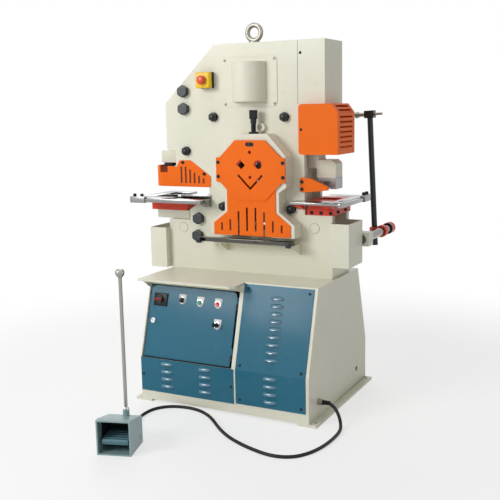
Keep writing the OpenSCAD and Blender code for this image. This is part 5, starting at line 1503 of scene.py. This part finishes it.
@dataclass
class WorkTables:
    """The punch and notch tables, with the clasps and knobs of their stops."""

    soft: float = 0.8
    knobs: Mapping[str, tuple[Place, ...]] = field(default_factory=lambda: {
        "punch_stop": ((-555, -139, 908), (-515, -139, 908)),
        "notch_stop": ((463, 170.5, 913), (463, 210.5, 913))})
    punch_plates: tuple[tuple[Place, Place], ...] = (
        ((-575, -130, 888), (-195, -46.5, 900)), ((-575, -46.5, 888), (-515, 217, 900)),
        ((-515, 157.5, 888), (-427, 217, 900)), ((-575, -148, 882), (-195, -130, 899)),
        ((-548, -9.5, 865), (-515, 14.5, 888)), ((-548, 96.5, 865), (-515, 120.5, 888)),
        ((-355, -52.5, 900), (-195, -46.5, 914)))
    notch_plates: tuple[tuple[Place, Place], ...] = (
        ((235, -129.5, 895), (454, -46.5, 905)), ((406.5, -46.5, 895), (454, 240.5, 905)),
        ((281, 157.5, 895), (406.5, 240.5, 905)), ((454, -129.5, 887), (472, 240.5, 904)))

    def build(self) -> None:
        """Makes the stops' knobs and clasps, and both tables."""
        self.knob_caps()
        self.stop_clasps()
        self.punch_table()
        self.notch_table()

    def knob_caps(self) -> None:
        """Fluted black caps on the knobs of both stops."""
        for body, spots in self.knobs.items():
            cap = Shape().loft([fluted(radius, 0.7, 18, z)
                                for radius, z in ((7.8, 0), (7.8, 10.8), (6.6, 12.6))])
            places = [Stamp(Vector(spot) * MM, UP) for spot in spots]
            Repeater.add(body + "_caps", cap.mesh("knob cap"), places, body, BLACK)

    def stop_clasps(self) -> None:
        """The slim clasps that ride on the table rails."""
        outline = [(-21.4, -21.4), (3.4, -21.4), (3.4, -12.4), (0.4, -12.4), (0.4, -18.4), (-18.4, -18.4),
                   (-18.4, -0.6), (-0.4, -0.6), (-0.4, 8.0), (-21.4, 8.0)]
        for body, node, spot, across, along in (
                ("punch_stop", "punch_fence", (-575, -130, 900), (0, 1, 0), (1, 0, 0)),
                ("notch_stop", "notch_fence", (454, 150.5, 905), (-1, 0, 0), (0, 1, 0))):
            place = at(*spot) @ Matrix((across, UP, along)).transposed().to_4x4()
            Shape().prism(outline, 0, 80, place, self.soft).add(body + "_clasp", body, MILLED, node)

    def plates(self, boxes: Iterable[tuple[Place, Place]]) -> Shape:
        """Plates with slightly rounded edges.

        Args:
            boxes: The low and the high corner of each.

        Returns:
            The shape.
        """
        shape = Shape()
        for low, high in boxes:
            shape.box(low, high, HERE, self.soft)
        return shape

    def punch_table(self) -> None:
        """The punch table: plates round the die, a rail, a bracket, two posts and a low rule."""
        shape = self.plates(self.punch_plates)
        shape.prism([(-46, 888), (-106, 888), (-106, 882), (-46, 858)], -229, -195, SIDEWAYS, self.soft)
        shape.add("punch_table_plates", "machine", GROUND, "punch_table")

    def notch_table(self) -> None:
        """The notch table round its die, with its rail and its gussets."""
        self.plates(self.notch_plates).add("notch_table_plates", "machine", GROUND, "notch_table")
        front = [(-46, 895), (-106, 895), (-106, 890), (-46, 865)]
        back = [(111 - y, z) for y, z in front]
        gussets = Shape()
        for low, outline in ((240, front), (376, front), (376, back)):
            gussets.prism(outline, low, low + 30, SIDEWAYS, self.soft)
        gussets.add("notch_table_gussets", "machine", VERMILION, "notch_table")


@dataclass
class LengthStop:
    """The length stop's rings, clamp and sleeve."""

    rod_end: Place = (482.0, 454.0, 724.0)
    rod: Place = (482.0, 372.0, 724.0)
    arm: Place = (447.0, 372.0, 724.0)
    arm_lean: float = math.radians(-2.8)
    head: Place = (420.47, 372.0, 1266.35)
    reach: Place = (-0.998806, 0.0, -0.04885)

    def rod_collar(self) -> None:
        """The painted collar and its two rings at the end of the rod."""
        place = at(*self.rod_end) @ Matrix.Rotation(-math.pi / 2, 4, "X")
        collar = Shape().lathe([(25.5, 3.0), (26.8, 3.0), (26.8, 40.5), (25.5, 40.5), (25.5, 3.0)], place, 44)
        collar.add("stop_rod_collar", "machine", VERMILION)
        rings = Shape()
        for low, high in ((-1.2, 3.0), (40.5, 44.8)):
            rings.lathe([(20.2, low), (27.2, low), (27.2, high), (20.2, high), (20.2, low)], place, 44)
        rings.add("stop_rod_rings", "machine", OXIDE)

    def clamp(self) -> None:
        """One ring round the rod and one round the upright."""
        solid, tool = Shape(), Shape()
        upright = at(*self.arm) @ Matrix.Rotation(self.arm_lean, 4, "Y")
        for place, radius, bore in ((facing(*self.rod), 28.0, 20.4), (upright, 23.5, 13.4)):
            solid.lathe([(0, -17.5), (radius - 1, -17.5), (radius, -16.5), (radius, 16.5), (radius - 1, 17.5),
                         (0, 17.5)], place, 44)
            tool.lathe([(0, -50), (bore, -50), (bore, 50), (0, 50)], place, 44)
        mesh = solid.less(tool, "stop_clamp_rings")
        rings = add_piece("stop_clamp_rings", mesh, "stop_slide", VERMILION, "stop_clamp")
        Dress(VERMILION, Bevel.FINE).apply(rings)

    def tip_sleeve(self) -> None:
        """The plated sleeve between the head and the tip."""
        place = at(*self.head) @ pointing(Vector(self.reach))
        sleeve = Shape().lathe([(6.1, 23.0), (9.2, 23.0), (9.8, 23.6), (9.8, 54.5), (6.1, 54.5), (6.1, 23.0)],
                               place, 36)
        sleeve.add("stop_tip_sleeve", "stop_probe", ROD)


@dataclass
class Seams:
    """Joint lines, painted shade in the guards' slots, round the control door and in its lock, and a screw
    that finish the plates.
    """

    slot_half: float = 4.45
    punch_slots: tuple[Place, ...] = (
        (-351.1, 967.2, 1042.6), (-327.5, 967.2, 1042.6), (-303.9, 967.2, 1030.4), (-280.3, 967.2, 1014.6),
        (-256.7, 967.2, 1002.4), (-233.1, 967.2, 990.2))
    plugs: tuple[Pair, ...] = ((-349.04, 758.8), (316.0, 784.0))
    seam: Place = (241.8, 1318.0, 1584.0)

    def guard_lining(self, shear: ShearStation) -> None:
        """Painted shade: dark strips at the back of both guards' slots, where the slots are in shade.

        Args:
            shear: The shear, with its guard's slots.
        """
        strips = Shape()
        for slots, back in ((self.punch_slots, PLATE_FRONT), (shear.skirt_slots, shear.oval[1])):
            for x, low, high in slots:
                strips.box((x - self.slot_half, back - 0.9, low), (x + self.slot_half, back - 0.1, high))
        strips.add("guard_lining", "machine", SLOT_SHADE)

    def plate_lines(self) -> None:
        """Dark joint lines round the frame's plugs and beside the side cover."""
        rim = Shape().lathe([(22.0, 0), (23.1, 0), (22.9, 0.6), (22.1, 0.6), (22.0, 0)])
        places = [Stamp(Vector((x * MM, PLATE_FRONT * MM, z * MM)), FRONT) for x, z in self.plugs]
        Repeater.add("plug_rings", rim.mesh("plug ring"), places, "machine", OXIDE)
        x, low, high = self.seam
        line = Shape().box((x - 0.7, PLATE_FRONT - 0.3, low), (x + 0.7, PLATE_FRONT, high))
        line.add("cover_seam", "machine", OXIDE)

    def door_shade(self) -> None:
        """Painted shade: dark sheets in the gap under the control door and in the slot of its lock."""
        gap_shade = Shape().box((-406.5, 0, 3.0), (52.5, 8.0, 3.5), DOOR_SLOPE)
        gap_shade.box((-406.5, -0.4, 0.3), (52.5, 0, 3.5), DOOR_SLOPE)
        gap_shade.add("door_sill", "machine", GAP_SHADE)
        controls = Controls()
        slot = Shape().box((-8.8, -1.1, 2.6), (8.8, 1.1, 5.0), controls.spot(controls.lock))
        slot.add("lock_slot", "lock", GAP_SHADE)

    def set_screw(self) -> None:
        """The black screw on top of the ram's punch head."""
        screw = Shape().lathe([(0, 0), (14, 0), (14, 5.0), (8, 5.2), (8, 15.0), (7, 16.2), (0, 16.2)],
                              at(-470, 55.5, 1113.1), 32)
        screw.add("punch_set_screw", "ram", OXIDE)


def louvred_sheets() -> list[LouvredSheet]:
    """The cabinet's two louvred sheets.

    Returns:
        The tall sheet that bends at the knee, and the low one under the control door.
    """
    low_rows = tuple(79 + 34 * i - KNEE for i in range(4))
    high_rows = tuple(52 + 32.5 * i for i in range(9))
    return [LouvredSheet("louvre_sheet", "louvre_panel", (73.0, 398.0), (-150.0, 369.2), (235.5,),
                         high_rows + low_rows),
            LouvredSheet("vent_sheet", "vent_panel", (-409.0, 63.0), (-154.0, -0.2), (-272.0, -78.6),
                         low_rows)]


def main() -> None:
    """Loads the frame, dresses its solids and builds the finer pieces."""
    logging.basicConfig(level=logging.INFO, format="%(message)s")
    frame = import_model()
    nodes = frame["nodes"]
    studio, pedal, stop, seams = Studio(), FootPedal(), LengthStop(), Seams()
    studio.camera()
    PedalCord().build()
    for names, dress in NODE_DRESS:
        for name in names.split():
            dress.apply(nodes[name])
    Fasteners(nodes).build()
    for sheet in louvred_sheets():
        sheet.build()
    Controls().build()
    EmergencyStop().build()
    HoldDown().build()
    pedal.carrying_rod()
    shear = ShearStation(nodes)
    shear.housing()
    seams.guard_lining(shear)
    seams.plate_lines()
    shear.bar_stop()
    stop.rod_collar()
    WorkTables().build()
    pedal.lining()
    shear.guard()
    stop.clamp()
    stop.tip_sleeve()
    shear.eye_step_shade()
    seams.door_shade()
    seams.set_screw()
    studio.floor()
    studio.light()


if __name__ == "__main__":
    main()
